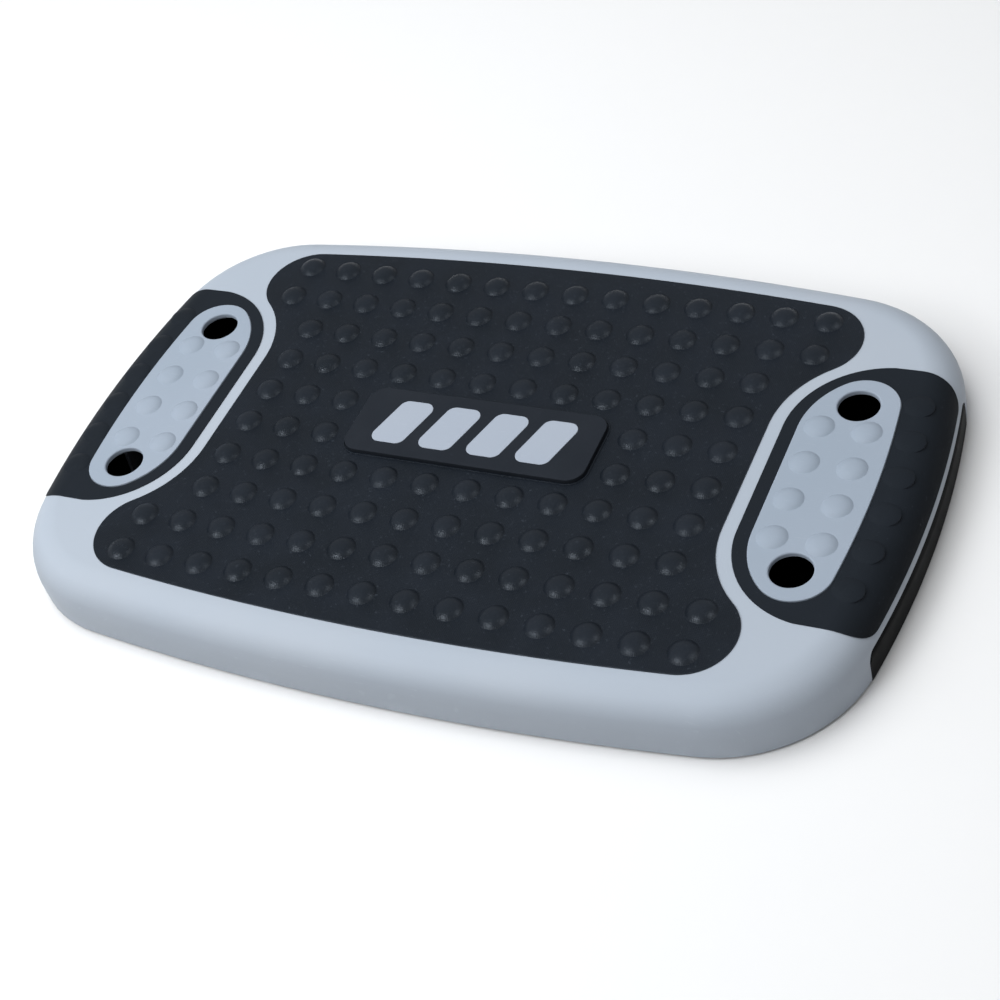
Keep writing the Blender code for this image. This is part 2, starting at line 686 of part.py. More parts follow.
def cut_deck_ends(deck):
    """The end openings, the room for the leg roots, and what holds the rods and feet."""
    half = END_OPENING_WIDTH / 2
    opening = rounded_polygon(rectangle(-half, -REACH, half, LIP_Z), END_OPENING_ROUND, 4)
    opening_mesh = outline_mesh("end_opening", [opening], -REACH / 2, REACH / 2)
    opening_mesh.transform(UPRIGHT)
    sweep_mesh = hinge_sweep("leg_sweep", 0.0)
    bore = ROD_DIAMETER / 2 + ROD_CLEARANCE
    slot = arc_points((0.0, 0.0), bore, 0, math.pi, 8)
    slot += [(-bore, -HINGE_Z), (bore, -HINGE_Z)]
    slot_length = ROD_HALF_LENGTH + GAP
    slot_mesh = outline_mesh("rod_slot", [slot], -slot_length, slot_length)
    slot_mesh.transform(Matrix.Rotation(math.pi / 2, 4, "X"))
    pilot_top = SCREW_FACE + SCREW_LENGTH + GAP
    pilot = cylinder_mesh("screw_pilot", SCREW_HOLE_RADIUS, 0, pilot_top, steps=SCREW_STEPS)
    socket_top = RIM_CLEARANCE + FOOT_HEIGHT + FOOT_STEM_LENGTH + GAP
    socket = cylinder_mesh("stem_socket", FOOT_STEM_DIAMETER / 2 + GAP, 0, socket_top, steps=FOOT_STEPS)
    pilots = []
    sockets = []
    stop_mesh = leg_stop_mesh()
    for name, end in ENDS:
        hinge = (end, HINGE_X, 0, HINGE_Z)
        combine(deck, add_cutter(f"end_opening_{name}", opening_mesh, end, HALF_LENGTH), "DIFFERENCE")
        combine(deck, add_cutter(f"leg_sweep_{name}", sweep_mesh, *hinge), "DIFFERENCE")
        combine(deck, add_cutter(f"rod_slot_{name}", slot_mesh, *hinge), "DIFFERENCE")
        combine(deck, add_cutter(f"leg_stop_{name}", stop_mesh, *hinge), "UNION")
        for _, side in SIDES:
            sockets.append(Matrix.Translation((end * FOOT_X, side * FOOT_Y, 0)))
            for offset, shift in CAP_SCREWS:
                spot = (end * (HINGE_X + offset), side * (CAP_Y + shift), 0)
                pilots.append(Matrix.Translation(spot))
    combine(deck, add_cutter("screw_pilots", group_mesh("screw_pilots", pilot, pilots)), "DIFFERENCE")
    combine(deck, add_cutter("stem_sockets", group_mesh("stem_sockets", socket, sockets)), "DIFFERENCE")


def leg_stop_mesh():
    """A leaning rib that the open leg's root comes to rest against, about the hinge axis."""
    near = HEEL_TOP - HINGE_Z + GAP
    far = near + STOP_THICKNESS
    rise = INNER_TOP + TOP_WALL / 2 - HINGE_Z
    top = (rise + far * math.sin(SOLE_LEAN)) / math.cos(SOLE_LEAN)
    low = (-far, -STOP_WIDTH / 2, 0.0)
    mesh = boxes_mesh("leg_stop", [(low, (-near, STOP_WIDTH / 2, top))])
    mesh.transform(Matrix.Rotation(-SOLE_LEAN, 4, "Y"))
    return mesh


def cut_deck_top(deck):
    """Seats for the mat, the grips and the panels, and the holes under the panels."""
    seat = outline_mesh("mat_seat", [mat_outline(GAP)], DECK_TOP - MAT_SINK, DECK_TOP + REACH)
    combine(deck, add_cutter("mat_seat", seat), "DIFFERENCE")
    floor_form = deck_form("grip_floor", GRIP_SINK, -REACH)
    grip_seat = outline_mesh("grip_seat", [grip_outline(GAP)], 0.0, DECK_TOP + REACH)
    grip_front = grip_front_mesh("grip_seat_front", GAP)
    panel_floor = DECK_TOP - PANEL_SINK
    panel_seat = outline_mesh("panel_seat", [panel_outline(GAP)], panel_floor, DECK_TOP + REACH)
    relief = HOLE_DIAMETER / 2 + HOLE_RELIEF
    hole = cylinder_mesh("hole_relief", relief, 0, DECK_TOP + REACH)
    screw = cylinder_mesh(
        "panel_screw_hole", SCREW_HOLE_RADIUS, HINGE_Z, DECK_TOP + REACH, steps=SCREW_STEPS
    )
    holes = []
    screws = []
    for name, end in ENDS:
        rubber = add_cutter(f"grip_seat_{name}", grip_seat, end)
        combine(rubber, add_cutter(f"grip_seat_front_{name}", grip_front, end), "INTERSECT")
        combine(rubber, floor_form, "DIFFERENCE")
        combine(deck, rubber, "DIFFERENCE")
        combine(deck, add_cutter(f"panel_seat_{name}", panel_seat, end), "DIFFERENCE")
        holes += [Matrix.Translation((end * HOLE_X, side * HOLE_Y, 0)) for _, side in SIDES]
        screws += [Matrix.Translation((end * x, end * y, 0)) for x, y in panel_screw_places()]
    combine(deck, add_cutter("hole_reliefs", group_mesh("hole_reliefs", hole, holes)), "DIFFERENCE")
    screw_holes = add_cutter("panel_screw_holes", group_mesh("panel_screw_holes", screw, screws))
    combine(deck, screw_holes, "DIFFERENCE")


def panel_screw_places():
    """Screws stand on the panel's middle line, between the rows of domes."""
    x = PANEL_INNER_X + PANEL_DOME_INSET + DOME_PITCH_X / 2
    return [(x, row * PANEL_DOME_PITCH) for row in (-1, 0, 1)]


def build_mat(finish):
    floor = DECK_TOP - MAT_SINK + GAP
    outline = mat_outline()
    mat = add_part("tread_mat", outline_mesh("tread_mat", [outline], floor, MAT_TOP), finish)
    seat = outline_mesh("plate_seat", [plate_outline(GAP)], MAT_TOP - PLATE_SINK, MAT_TOP + REACH)
    combine(mat, add_cutter("plate_seat", seat), "DIFFERENCE")
    room = DOME_DIAMETER / 2 + DOME_MARGIN
    places = []
    columns = math.ceil(HALF_LENGTH / DOME_PITCH_X)
    rows = math.ceil(HALF_WIDTH / DOME_PITCH_Y)
    for column in range(-columns, columns):
        for row in range(-rows, rows):
            centre = ((column + 0.5) * DOME_PITCH_X, (row + 0.5) * DOME_PITCH_Y)
            on_mat = inner_distance(centre, outline) >= room
            if on_mat and inner_distance(centre, plate_outline()) <= -room:
                places.append(Matrix.Translation((*centre, MAT_TOP)))
    dome = dome_mesh("tread_dome", DOME_DIAMETER, DOME_HEIGHT)
    combine(mat, add_cutter("tread_domes", group_mesh("tread_domes", dome, places)), "UNION")


def build_plate(plate_finish, inlay_finish):
    low = MAT_TOP - PLATE_SINK + GAP
    mesh = outline_mesh("name_plate", [plate_outline()], low, PLATE_TOP)
    plate = add_part("name_plate", mesh, plate_finish)
    round_edges(plate, PLATE_TOP, PLATE_EDGE_ROUND, 2)
    floor = PLATE_TOP - INLAY_SINK
    pockets = outline_mesh("inlay_pockets", inlay_outlines(GAP), floor, PLATE_TOP + REACH)
    combine(plate, add_cutter("inlay_pockets", pockets), "DIFFERENCE")
    for index, outline in enumerate(inlay_outlines()):
        name = f"plate_inlay_{index + 1}"
        inlay = outline_mesh(name, [outline], floor + GAP, PLATE_TOP + INLAY_PROUD)
        add_part(name, inlay, inlay_finish)


def build_grips(finish):
    skin = deck_form("grip_skin", -GRIP_PROUD, -REACH)
    lining = deck_form("grip_lining", GRIP_SINK - GAP, -REACH)
    mesh = outline_mesh("end_grip", [grip_outline(), panel_outline(GAP)], 0.0, DECK_TOP + REACH)
    front = grip_front_mesh("grip_front")
    domes = grip_domes_mesh()
    for name, end in ENDS:
        grip = add_part(f"end_grip_{name}", mesh, finish, end)
        combine(grip, add_cutter(f"grip_front_{name}", front, end), "INTERSECT")
        combine(grip, skin, "INTERSECT")
        combine(grip, add_cutter(f"grip_domes_{name}", domes, end), "UNION")
        combine(grip, lining, "DIFFERENCE")


def grip_domes_mesh():
    """One row of low domes along the end, which stay nearly level where the edge falls away."""
    dome = dome_mesh("grip_dome", GRIP_DOME_DIAMETER, GRIP_DOME_HEIGHT, skirt=GRIP_DOME_SKIRT)
    lean = Matrix.Rotation(GRIP_DOME_LEAN, 4, "Y")
    places = []
    for index in range(GRIP_DOME_COUNT):
        y = (index - (GRIP_DOME_COUNT - 1) / 2) * GRIP_DOME_PITCH
        spot = (deck_end_x(y) - GRIP_DOME_INSET, y, DECK_TOP + GRIP_PROUD - GRIP_DOME_SINK)
        turn = Matrix.Rotation(math.asin(y / END_ARC_RADIUS), 4, "Z")
        places.append(Matrix.Translation(spot) @ turn @ lean)
    return group_mesh("grip_domes", dome, places)


def build_panels(finish, screw_finish):
    floor = DECK_TOP - PANEL_SINK + GAP
    holes = [circle(HOLE_X, side * HOLE_Y, HOLE_DIAMETER / 2) for _, side in SIDES]
    mesh = outline_mesh("grip_panel", [panel_outline(), *holes], floor, PANEL_TOP)
    dome = dome_mesh("panel_dome", DOME_DIAMETER, PANEL_DOME_HEIGHT, DOME_SIDES + 2)
    places = []
    for column in (0, 1):
        for row in (-1.5, -0.5, 0.5, 1.5):
            x = PANEL_INNER_X + PANEL_DOME_INSET + column * DOME_PITCH_X
            places.append(Matrix.Translation((x, row * PANEL_DOME_PITCH, PANEL_TOP)))
    domes = group_mesh("panel_domes", dome, places)
    shank = SCREW_DIAMETER / 2
    head = SCREW_HEAD_DIAMETER / 2
    seat = INNER_TOP - GAP
    tip = floor + PANEL_SCREW_BITE
    crown = PANEL_SCREW_CROWN / 2
    low = seat - PANEL_SCREW_HEAD
    profile = [(0.0, tip), (shank, tip), (shank, seat), (head, seat), (crown, low), (0.0, low)]
    screw = turned_mesh("panel_screw", profile, SCREW_STEPS)
    pilot = cylinder_mesh("panel_pilot", SCREW_HOLE_RADIUS, 0, tip + GAP, steps=SCREW_STEPS)
    spots = [Matrix.Translation((x, y, 0)) for x, y in panel_screw_places()]
    pilots = group_mesh("panel_pilots", pilot, spots)
    for name, end in ENDS:
        panel = add_part(f"grip_panel_{name}", mesh, finish, end)
        combine(panel, add_cutter(f"panel_domes_{name}", domes, end), "UNION")
        combine(panel, add_cutter(f"panel_pilots_{name}", pilots, end), "DIFFERENCE")
        for index, (x, y) in enumerate(panel_screw_places()):
            add_part(f"panel_screw_{name}_{index + 1}", screw, screw_finish, end, x, y, smooth=True)


def sole_box(name, near, far, low, high, half_width):
    """A box that leans with the sole, between two distances from the hinge axis."""
    mesh = boxes_mesh(name, [((-far, -half_width, low), (-near, half_width, high))])
    mesh.transform(Matrix.Rotation(SOLE_LEAN, 4, "Y"))
    return mesh


def build_legs(finish, rubber):
    """Each leg is drawn folded, about its hinge axis, with the foot bar towards the middle."""
    low = LEG_FLOOR_GAP - HINGE_Z
    top = ARM_TOP - HINGE_Z
    knuckle_radius = HEEL_TOP - HINGE_Z
    inner_end = -(LEG_REACH - SOLE_THICKNESS - LEG_FOOT_DEPTH) * math.cos(SOLE_LEAN)
    rim_box = ((-LEG_REACH - SOLE_THICKNESS, -LEG_HALF_WIDTH, low), (0.0, LEG_HALF_WIDTH, top))
    tray_box = ((inner_end, -ARM_INNER_Y, low + LEG_WEB), (REACH, ARM_INNER_Y, REACH))
    heel_box = ((0.0, -LEG_HALF_WIDTH, low), (REACH, LEG_HALF_WIDTH, knuckle_radius))
    floor_box = ((-REACH, -HALF_WIDTH, low - REACH), (REACH, HALF_WIDTH, low))
    frame = boxes_mesh("leg_frame", [rim_box])
    tray = boxes_mesh("leg_tray", [tray_box])
    heel = boxes_mesh("leg_heel", [heel_box])
    floor = boxes_mesh("leg_floor", [floor_box])
    knuckle = cylinder_mesh("leg_knuckle", knuckle_radius, -LEG_HALF_WIDTH, LEG_HALF_WIDTH, "Y", 32)
    foot_face = LEG_REACH - SOLE_THICKNESS - GAP
    trim = sole_box("sole_trim", foot_face, foot_face + REACH, -REACH, REACH, HALF_WIDTH)
    sole_low = low + SOLE_THICKNESS / 2
    sole = sole_box("leg_sole", foot_face + GAP, LEG_REACH, sole_low, top - 2 * GAP, LEG_HALF_WIDTH)
    bore = cylinder_mesh("rod_bore", ROD_DIAMETER / 2 + ROD_CLEARANCE, -HALF_WIDTH, HALF_WIDTH, "Y", 16)
    sweep = hinge_sweep("heel_limit", HEEL_CLEARANCE)
    pockets = leg_pockets_mesh(low, inner_end)
    outside = deck_form("heel_face", 0.0, -REACH)
    for name, end in ENDS:
        place = (end, HINGE_X, 0, HINGE_Z)
        root = add_cutter(f"leg_heel_{name}", heel, *place)
        combine(root, outside, "INTERSECT")
        combine(root, add_cutter(f"heel_limit_{name}", sweep, *place), "INTERSECT")
        combine(root, add_cutter(f"leg_knuckle_{name}", knuckle, *place), "UNION")
        combine(root, add_cutter(f"leg_floor_{name}", floor, *place), "DIFFERENCE")
        leg = add_part(f"leg_frame_{name}", frame, finish, *place)
        combine(leg, add_cutter(f"leg_tray_{name}", tray, *place), "DIFFERENCE")
        combine(leg, add_cutter(f"sole_trim_{name}", trim, *place), "DIFFERENCE")
        combine(leg, root, "UNION")
        combine(leg, add_cutter(f"leg_pockets_{name}", pockets, *place), "DIFFERENCE")
        combine(leg, add_cutter(f"rod_bore_{name}", bore, *place), "DIFFERENCE")
        add_part(f"leg_sole_{name}", sole, rubber, *place)


def leg_pockets_mesh(low, inner_end):
    """Lightening pockets in the underside of the arms and of the foot bar."""
    wall = LEG_POCKET_WALL
    top = ARM_TOP - HINGE_Z - wall
    boxes = []
    arm_start = inner_end + wall
    arm_end = HINGE_Z - HEEL_TOP - wall
    arm_middle = (arm_start + arm_end) / 2
    for side in (1, -1):
        near, far = sorted((side * (ARM_INNER_Y + wall), side * (LEG_HALF_WIDTH - wall)))
        for west, east in ((arm_start, arm_middle - wall / 2), (arm_middle + wall / 2, arm_end)):
            boxes.append(((west, near, low - REACH), (east, far, top)))
    foot_far = -LEG_REACH + SOLE_THICKNESS + 2 * wall
    edges = cell_edges(-ARM_INNER_Y, ARM_INNER_Y, EDGE_RIB_PITCH)
    for south, north in zip(edges, edges[1:]):
        low_corner = (foot_far, south + wall / 2, low - REACH)
        boxes.append((low_corner, (inner_end - wall, north - wall / 2, top)))
    return boxes_mesh("leg_pockets", boxes)


def build_hinges(rod_finish, cap_finish):
    rod = cylinder_mesh("hinge_rod", ROD_DIAMETER / 2, -ROD_HALF_LENGTH, ROD_HALF_LENGTH, "Y", 16)
    near = WELL_HALF_WIDTH + 2 * GAP
    far = WELL_HALF_WIDTH + BOSS_LENGTH
    hole = turned_mesh("cap_screw_hole", countersunk_profile(SCREW_LENGTH, GAP), SCREW_STEPS)
    screw = turned_mesh("cap_screw", countersunk_profile(SCREW_LENGTH), SCREW_STEPS)
    flip = Matrix.Rotation(math.pi, 4, "X")
    screw.transform(flip)
    inside_mesh = outline_mesh("cap_limit", [deck_outline(SIDE_WALL + GAP)], -REACH, REACH)
    inside = add_cutter("cap_limit", inside_mesh)
    for name, end in ENDS:
        add_part(f"hinge_rod_{name}", rod, rod_finish, end, HINGE_X, 0, HINGE_Z, smooth=True)
        for side_name, side in SIDES:
            turn = end * side
            south, north = sorted((turn * near, turn * far))
            box = ((-CAP_HALF_WIDTH, south, CAP_LOW), (CAP_HALF_WIDTH, north, CAP_TOP))
            cap_name = f"hinge_cap_{name}_{side_name}"
            cap = add_part(cap_name, boxes_mesh(cap_name, [box]), cap_finish, end, HINGE_X)
            combine(cap, inside, "INTERSECT")
            spots = []
            for index, (offset, shift) in enumerate(CAP_SCREWS):
                y = turn * (CAP_Y + shift)
                spots.append(Matrix.Translation((offset, y, SCREW_FACE)) @ flip)
                place = (end, HINGE_X + offset, y, SCREW_FACE)
                screw_name = f"cap_screw_{name}_{side_name}_{index + 1}"
                add_part(screw_name, screw, rod_finish, *place, smooth=True)
            holes = group_mesh("cap_holes", hole, spots)
            cutter = add_cutter(f"cap_holes_{name}_{side_name}", holes, end, HINGE_X)
            combine(cap, cutter, "DIFFERENCE")


def build_feet(finish):
    radius = FOOT_DIAMETER / 2
    stem = FOOT_STEM_DIAMETER / 2
    shoulder = RIM_CLEARANCE + FOOT_HEIGHT - GAP
    top = shoulder + FOOT_STEM_LENGTH
    profile = [(0.0, top), (stem, top), (stem, shoulder), (radius, shoulder), (radius, FOOT_EDGE),
               (radius - FOOT_EDGE, 0.0), (0.0, 0.0)]
    foot = turned_mesh("corner_foot", profile, FOOT_STEPS)
    for name, end in ENDS:
        for side_name, side in SIDES:
            spot = (end, FOOT_X, side * end * FOOT_Y)
            add_part(f"corner_foot_{name}_{side_name}", foot, finish, *spot, smooth=True)


def build_step():
    shell = material("grey_plastic", 176, 188, 202, 0.42)
    panel = material("light_grey_plastic", 184, 194, 206, 0.45)
    black_rubber = material("black_rubber", 40, 43, 48, 0.6)
    black_plastic = material("black_plastic", 24, 26, 29, 0.45)
    inlay = material("pale_grey_plastic", 190, 200, 212, 0.5)
    steel = material("zinc_steel", 170, 172, 176, 0.35, 1.0)
    foot_rubber = material("foot_rubber", 30, 31, 33, 0.75)
    build_deck(shell)
    build_mat(black_rubber)
    build_plate(black_plastic, inlay)
    build_grips(black_rubber)
    build_panels(panel, steel)
    build_legs(black_plastic, foot_rubber)
    build_hinges(steel, black_plastic)
    build_feet(foot_rubber)


for leftover in list(bpy.data.objects):
    bpy.data.objects.remove(leftover, do_unlink=True)
parts = new_collection("aerobic_step")
cutters = new_collection("cutters")
build_step()
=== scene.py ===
import math

import bmesh
import bpy
from mathutils import Matrix, Vector


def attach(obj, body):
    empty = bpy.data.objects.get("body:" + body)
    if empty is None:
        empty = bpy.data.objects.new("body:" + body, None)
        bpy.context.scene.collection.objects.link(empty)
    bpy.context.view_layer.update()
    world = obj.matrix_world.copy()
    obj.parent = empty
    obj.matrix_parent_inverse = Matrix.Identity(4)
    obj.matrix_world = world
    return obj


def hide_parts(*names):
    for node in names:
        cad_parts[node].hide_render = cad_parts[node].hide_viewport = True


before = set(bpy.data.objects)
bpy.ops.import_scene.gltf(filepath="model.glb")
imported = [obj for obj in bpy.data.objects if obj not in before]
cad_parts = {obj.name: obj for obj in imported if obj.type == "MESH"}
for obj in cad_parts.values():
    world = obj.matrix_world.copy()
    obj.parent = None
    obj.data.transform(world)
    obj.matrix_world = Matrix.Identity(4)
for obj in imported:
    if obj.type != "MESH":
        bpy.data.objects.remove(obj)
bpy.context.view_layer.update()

# Sizes are metres, and the same as the solids'. Right-hand pieces are made first,
# and a copy turned half a circle about Z makes the left-hand ones.
deck = {"length": 0.6784, "width": 0.4378, "rim": 0.002, "top": 0.046, "endArc": 0.775,
        "sideArc": 2.13, "corner": 0.105, "edge": 0.028, "wall": 0.003, "innerTop": 0.042,
        "rimRound": 0.0007, "endSteps": 14, "cornerSteps": 16, "sideSteps": 14, "edgeSteps": 12}
halfLength = deck["length"] / 2
halfWidth = deck["width"] / 2
endCentre = (halfLength - deck["endArc"], 0.0)
sideCentre = (0.0, halfWidth - deck["sideArc"])
reach = 0.05  # how far cutters run past what they cut
seam = 0.0003  # gap between pieces that touch
nearAxis = 0.0001  # how close to its axis a turned profile starts
weld = 0.00001  # corners closer than this become one
sharpAngle = math.radians(35)  # edges that turn more than this stay sharp in the shading
halfTurn = Matrix.Rotation(math.pi, 4, "Z")
quarterX = Matrix.Rotation(math.pi / 2, 4, "X")
quarterZ = Matrix.Rotation(math.pi / 2, 4, "Z")


# Outlines

def arcPoints(centre, radius, start, end, steps):
    points = []
    for index in range(steps + 1):
        angle = start + (end - start) * index / steps
        points.append((centre[0] + radius * math.cos(angle), centre[1] + radius * math.sin(angle)))
    return points


def circlesMeet(centreA, radiusA, centreB, radiusB):
    apart = math.dist(centreA, centreB)
    along = (radiusA ** 2 - radiusB ** 2 + apart ** 2) / (2 * apart)
    aside = math.sqrt(max(radiusA ** 2 - along ** 2, 0))
    ahead = ((centreB[0] - centreA[0]) / apart, (centreB[1] - centreA[1]) / apart)
    x = centreA[0] + along * ahead[0] - aside * ahead[1]
    return (x, centreA[1] + along * ahead[1] + aside * ahead[0])


def bearing(centre, point):
    return math.atan2(point[1] - centre[1], point[0] - centre[0])


def fourQuarters(quarter):
    upper = quarter + [(-x, y) for x, y in reversed(quarter[:-1])]
    return upper + [(x, -y) for x, y in reversed(upper[1:-1])]


def twoHalves(half):
    return half + [(x, -y) for x, y in reversed(half[1:-1])]


def roundedPolygon(corners, radius, steps):
    points = []
    for index, corner in enumerate(corners):
        here = Vector(corner)
        back = (Vector(corners[index - 1]) - here).normalized()
        ahead = (Vector(corners[(index + 1) % len(corners)]) - here).normalized()
        half = back.angle(ahead) / 2
        centre = here + (back + ahead).normalized() * radius / math.sin(half)
        start = bearing(centre, here + back * radius / math.tan(half))
        points += arcPoints(centre, radius, start, start + math.pi - 2 * half, steps)
    return points


def quarterRound(steps):
    # how far across and how far below its end a round runs, as shares of its radius
    angles = [math.pi / 2 * index / steps for index in range(steps + 1)]
    return [(1 - math.cos(angle), 1 - math.sin(angle)) for angle in angles]


def rectangle(lowX, lowY, highX, highY):
    return [(lowX, lowY), (highX, lowY), (highX, highY), (lowX, highY)]


def deckOutline(inset=0.0):
    # the deck from above, or a line a steady distance inside it
    corner = circlesMeet(endCentre, deck["endArc"] - deck["corner"],
                         sideCentre, deck["sideArc"] - deck["corner"])
    first = bearing(endCentre, corner)
    second = bearing(sideCentre, corner)
    quarter = arcPoints(endCentre, deck["endArc"] - inset, 0, first, deck["endSteps"])
    quarter += arcPoints(corner, deck["corner"] - inset, first, second, deck["cornerSteps"])[1:]
    quarter += arcPoints(sideCentre, deck["sideArc"] - inset, second, math.pi / 2,
                         deck["sideSteps"])[1:]
    return fourQuarters(quarter)


def deckEndX(y):
    return endCentre[0] + math.sqrt(deck["endArc"] ** 2 - y ** 2)


def edgeInset(height):
    rise = max(height - (deck["top"] - deck["edge"]), 0)
    return deck["edge"] - math.sqrt(deck["edge"] ** 2 - rise ** 2)


# Mesh helpers

def newObject(name, mesh):
    made = bpy.data.objects.new(name, mesh)
    bpy.context.scene.collection.objects.link(made)
    return made


def fromShape(name, shape):
    mesh = bpy.data.meshes.new(name)
    shape.to_mesh(mesh)
    shape.free()
    return newObject(name, mesh)


def welded(made):
    shape = bmesh.new()
    shape.from_mesh(made.data)
    bmesh.ops.remove_doubles(shape, verts=shape.verts, dist=weld)
    bmesh.ops.recalc_face_normals(shape, faces=shape.faces)
    shape.to_mesh(made.data)
    shape.free()
    return made


def baked(maker):
    # the plain mesh that an object's modifiers or curve give, in a new object
    graph = bpy.context.evaluated_depsgraph_get()
    name = maker.name
    mesh = bpy.data.meshes.new_from_object(maker.evaluated_get(graph))
    mesh.transform(maker.matrix_world)
    bpy.data.objects.remove(maker)
    made = newObject(name, mesh)
    made.name = name
    return made


def lofted(name, rings):
    # a closed skin through rings of points that all have the same count
    shape = bmesh.new()
    rows = [[shape.verts.new(point) for point in ring] for ring in rings]
    for below, above in zip(rows, rows[1:]):
        for index in range(len(below)):
            shape.faces.new((below[index - 1], below[index], above[index], above[index - 1]))
    shape.faces.new(rows[0])
    shape.faces.new(rows[-1])
    return welded(fromShape(name, shape))


def turned(name, profile, sides, place=None):
    # (radius, height) points spun about Z
    rings = []
    for radius, height in profile:
        circle = arcPoints((0, 0), radius, 0, math.tau, sides)[:-1]
        rings.append([(x, y, height) for x, y in circle])
    made = lofted(name, rings)
    if place:
        made.data.transform(place)
    return made


def flatPiece(name, loops, low, high, soften=0.0, steps=2):
    # a flat solid with softened edges; later loops are its holes
    curve = bpy.data.curves.new(name, "CURVE")
    curve.dimensions = "2D"
    curve.fill_mode = "BOTH"
    curve.extrude = (high - low) / 2 - soften
    curve.bevel_depth = soften
    curve.bevel_resolution = steps
    curve.offset = -soften
    for loop in loops:
        spline = curve.splines.new("POLY")
        spline.points.add(len(loop) - 1)
        spline.use_cyclic_u = True
        for point, (x, y) in zip(spline.points, loop):
            point.co = (x, y, 0, 1)
    holder = newObject(name, curve)
    holder.location.z = (low + high) / 2
    bpy.context.view_layer.update()
    return welded(baked(holder))


def boxes(name, cornerPairs):
    shape = bmesh.new()
    for low, high in cornerPairs:
        size = [top - bottom for bottom, top in zip(low, high)]
        centre = [(top + bottom) / 2 for bottom, top in zip(low, high)]
        place = Matrix.Translation(centre) @ Matrix.Diagonal((*size, 1))
        bmesh.ops.create_cube(shape, size=1, matrix=place)
    return fromShape(name, shape)


def carve(target, cutter, operation="DIFFERENCE", keep=False, overlapping=False):
    modifier = target.modifiers.new("carve", "BOOLEAN")
    modifier.operation = operation
    modifier.solver = "EXACT"
    modifier.use_self = overlapping
    modifier.object = cutter
    made = baked(target)
    if not keep:
        bpy.data.objects.remove(cutter)
    return made


def softened(target, width, segments=2, angle=40):
    bevel = target.modifiers.new("soft edges", "BEVEL")
    bevel.limit_method = "ANGLE"
    bevel.angle_limit = math.radians(angle)
    bevel.width = width
    bevel.segments = segments
    bevel.use_clamp_overlap = True
    return baked(target)


def shaded(target):
    target.data.shade_smooth()
    target.data.set_sharp_from_angle(angle=sharpAngle)
    weighted = target.modifiers.new("weighted", "WEIGHTED_NORMAL")
    weighted.keep_sharp = True
    return baked(target)


def turnedCopy(source, name):
    mesh = source.data.copy()
    mesh.transform(halfTurn)
    return newObject(name, mesh)


def dress(piece, finish, body, slotName, *nodes):
    # gives a finished piece its material and its body, and hides the nodes that it stands for
    piece.data.materials.clear()
    piece.data.materials.append(finish)
    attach(piece, body)
    if nodes:
        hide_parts(*nodes)


def dressBoth(piece, finish, slotName, node, bodies=("deck", "deck")):
    # the right-hand piece, and its turned copy for the left
    other = turnedCopy(piece, piece.name.replace("Right", "Left"))
    dress(piece, finish, bodies[0], slotName, node + "_right")
    dress(other, finish, bodies[1], slotName, node + "_left")


# Materials

toneBand = (0.35, 0.65)  # the part of a noise's range over which two tones blend
patchBand = (0.3, 0.7)  # and over which the roughness changes
screenGamma = 2.2


def addNode(tree, kind, settings=None, **inputs):
    # inputs go by name, or as in0, in1 and so on by number; a socket is linked, a value set
    node = tree.nodes.new(kind)
    for key, value in (settings or {}).items():
        setattr(node, key, value)
    for key, value in inputs.items():
        socket = node.inputs[int(key[2:])] if key.startswith("in") else node.inputs[key]
        if isinstance(value, bpy.types.NodeSocket):
            tree.links.new(value, socket)
        else:
            socket.default_value = value
    return node


def linear(red, green, blue):
    return (*[(value / 255) ** screenGamma for value in (red, green, blue)], 1.0)


def noiseOf(tree, coords, scale, detail, stretch=(1, 1, 1)):
    mapping = addNode(tree, "ShaderNodeMapping", Vector=coords, Scale=stretch)
    noise = addNode(tree, "ShaderNodeTexNoise", Vector=mapping.outputs["Vector"], Scale=scale,
                    Detail=detail)
    return noise.outputs["Fac"]


def ranged(tree, value, fromLow, fromHigh, toLow, toHigh):
    limits = {"From Min": fromLow, "From Max": fromHigh, "To Min": toLow, "To Max": toHigh}
    node = addNode(tree, "ShaderNodeMapRange", {"clamp": True}, Value=value, **limits)
    return node.outputs["Result"]


def mathOf(tree, operation, first, second):
    node = addNode(tree, "ShaderNodeMath", {"operation": operation}, in0=first, in1=second)
    return node.outputs["Value"]


def mixedColour(tree, factor, first, second):
    # a mix node's colours are its inputs 6 and 7 and its output 2
    node = addNode(tree, "ShaderNodeMix", {"data_type": "RGBA"}, Factor=factor, in6=first,
                   in7=second)
    return node.outputs[2]


def bumped(tree, height, distance, under=None):
    node = addNode(tree, "ShaderNodeBump", Height=height, Distance=distance, Strength=1.0)
    if under is not None:
        tree.links.new(under, node.inputs["Normal"])
    return node.outputs["Normal"]


def startMaterial(name):
    made = bpy.data.materials.new(name)
    made.use_nodes = True
    tree = made.node_tree
    coords = addNode(tree, "ShaderNodeTexCoord").outputs["Object"]
    height = addNode(tree, "ShaderNodeSeparateXYZ", Vector=coords).outputs["Z"]
    return made, tree, tree.nodes["Principled BSDF"], coords, height


def baseTone(tree, noise, look):
    return mixedColour(tree, ranged(tree, noise, *toneBand, 0, 1), linear(*look["colour"]),
                       linear(*look["drift"]))


def patchyRoughness(tree, patches, look):
    low, high = look["roughSpread"]
    return ranged(tree, patches, *patchBand, look["rough"] + low, look["rough"] + high)


def joinShader(tree, shader, colour, rough, normal, fixed):
    for name, socket in (("Base Color", colour), ("Roughness", rough), ("Normal", normal)):
        tree.links.new(socket, shader.inputs[name])
    for name, value in fixed.items():
        shader.inputs[name].default_value = value


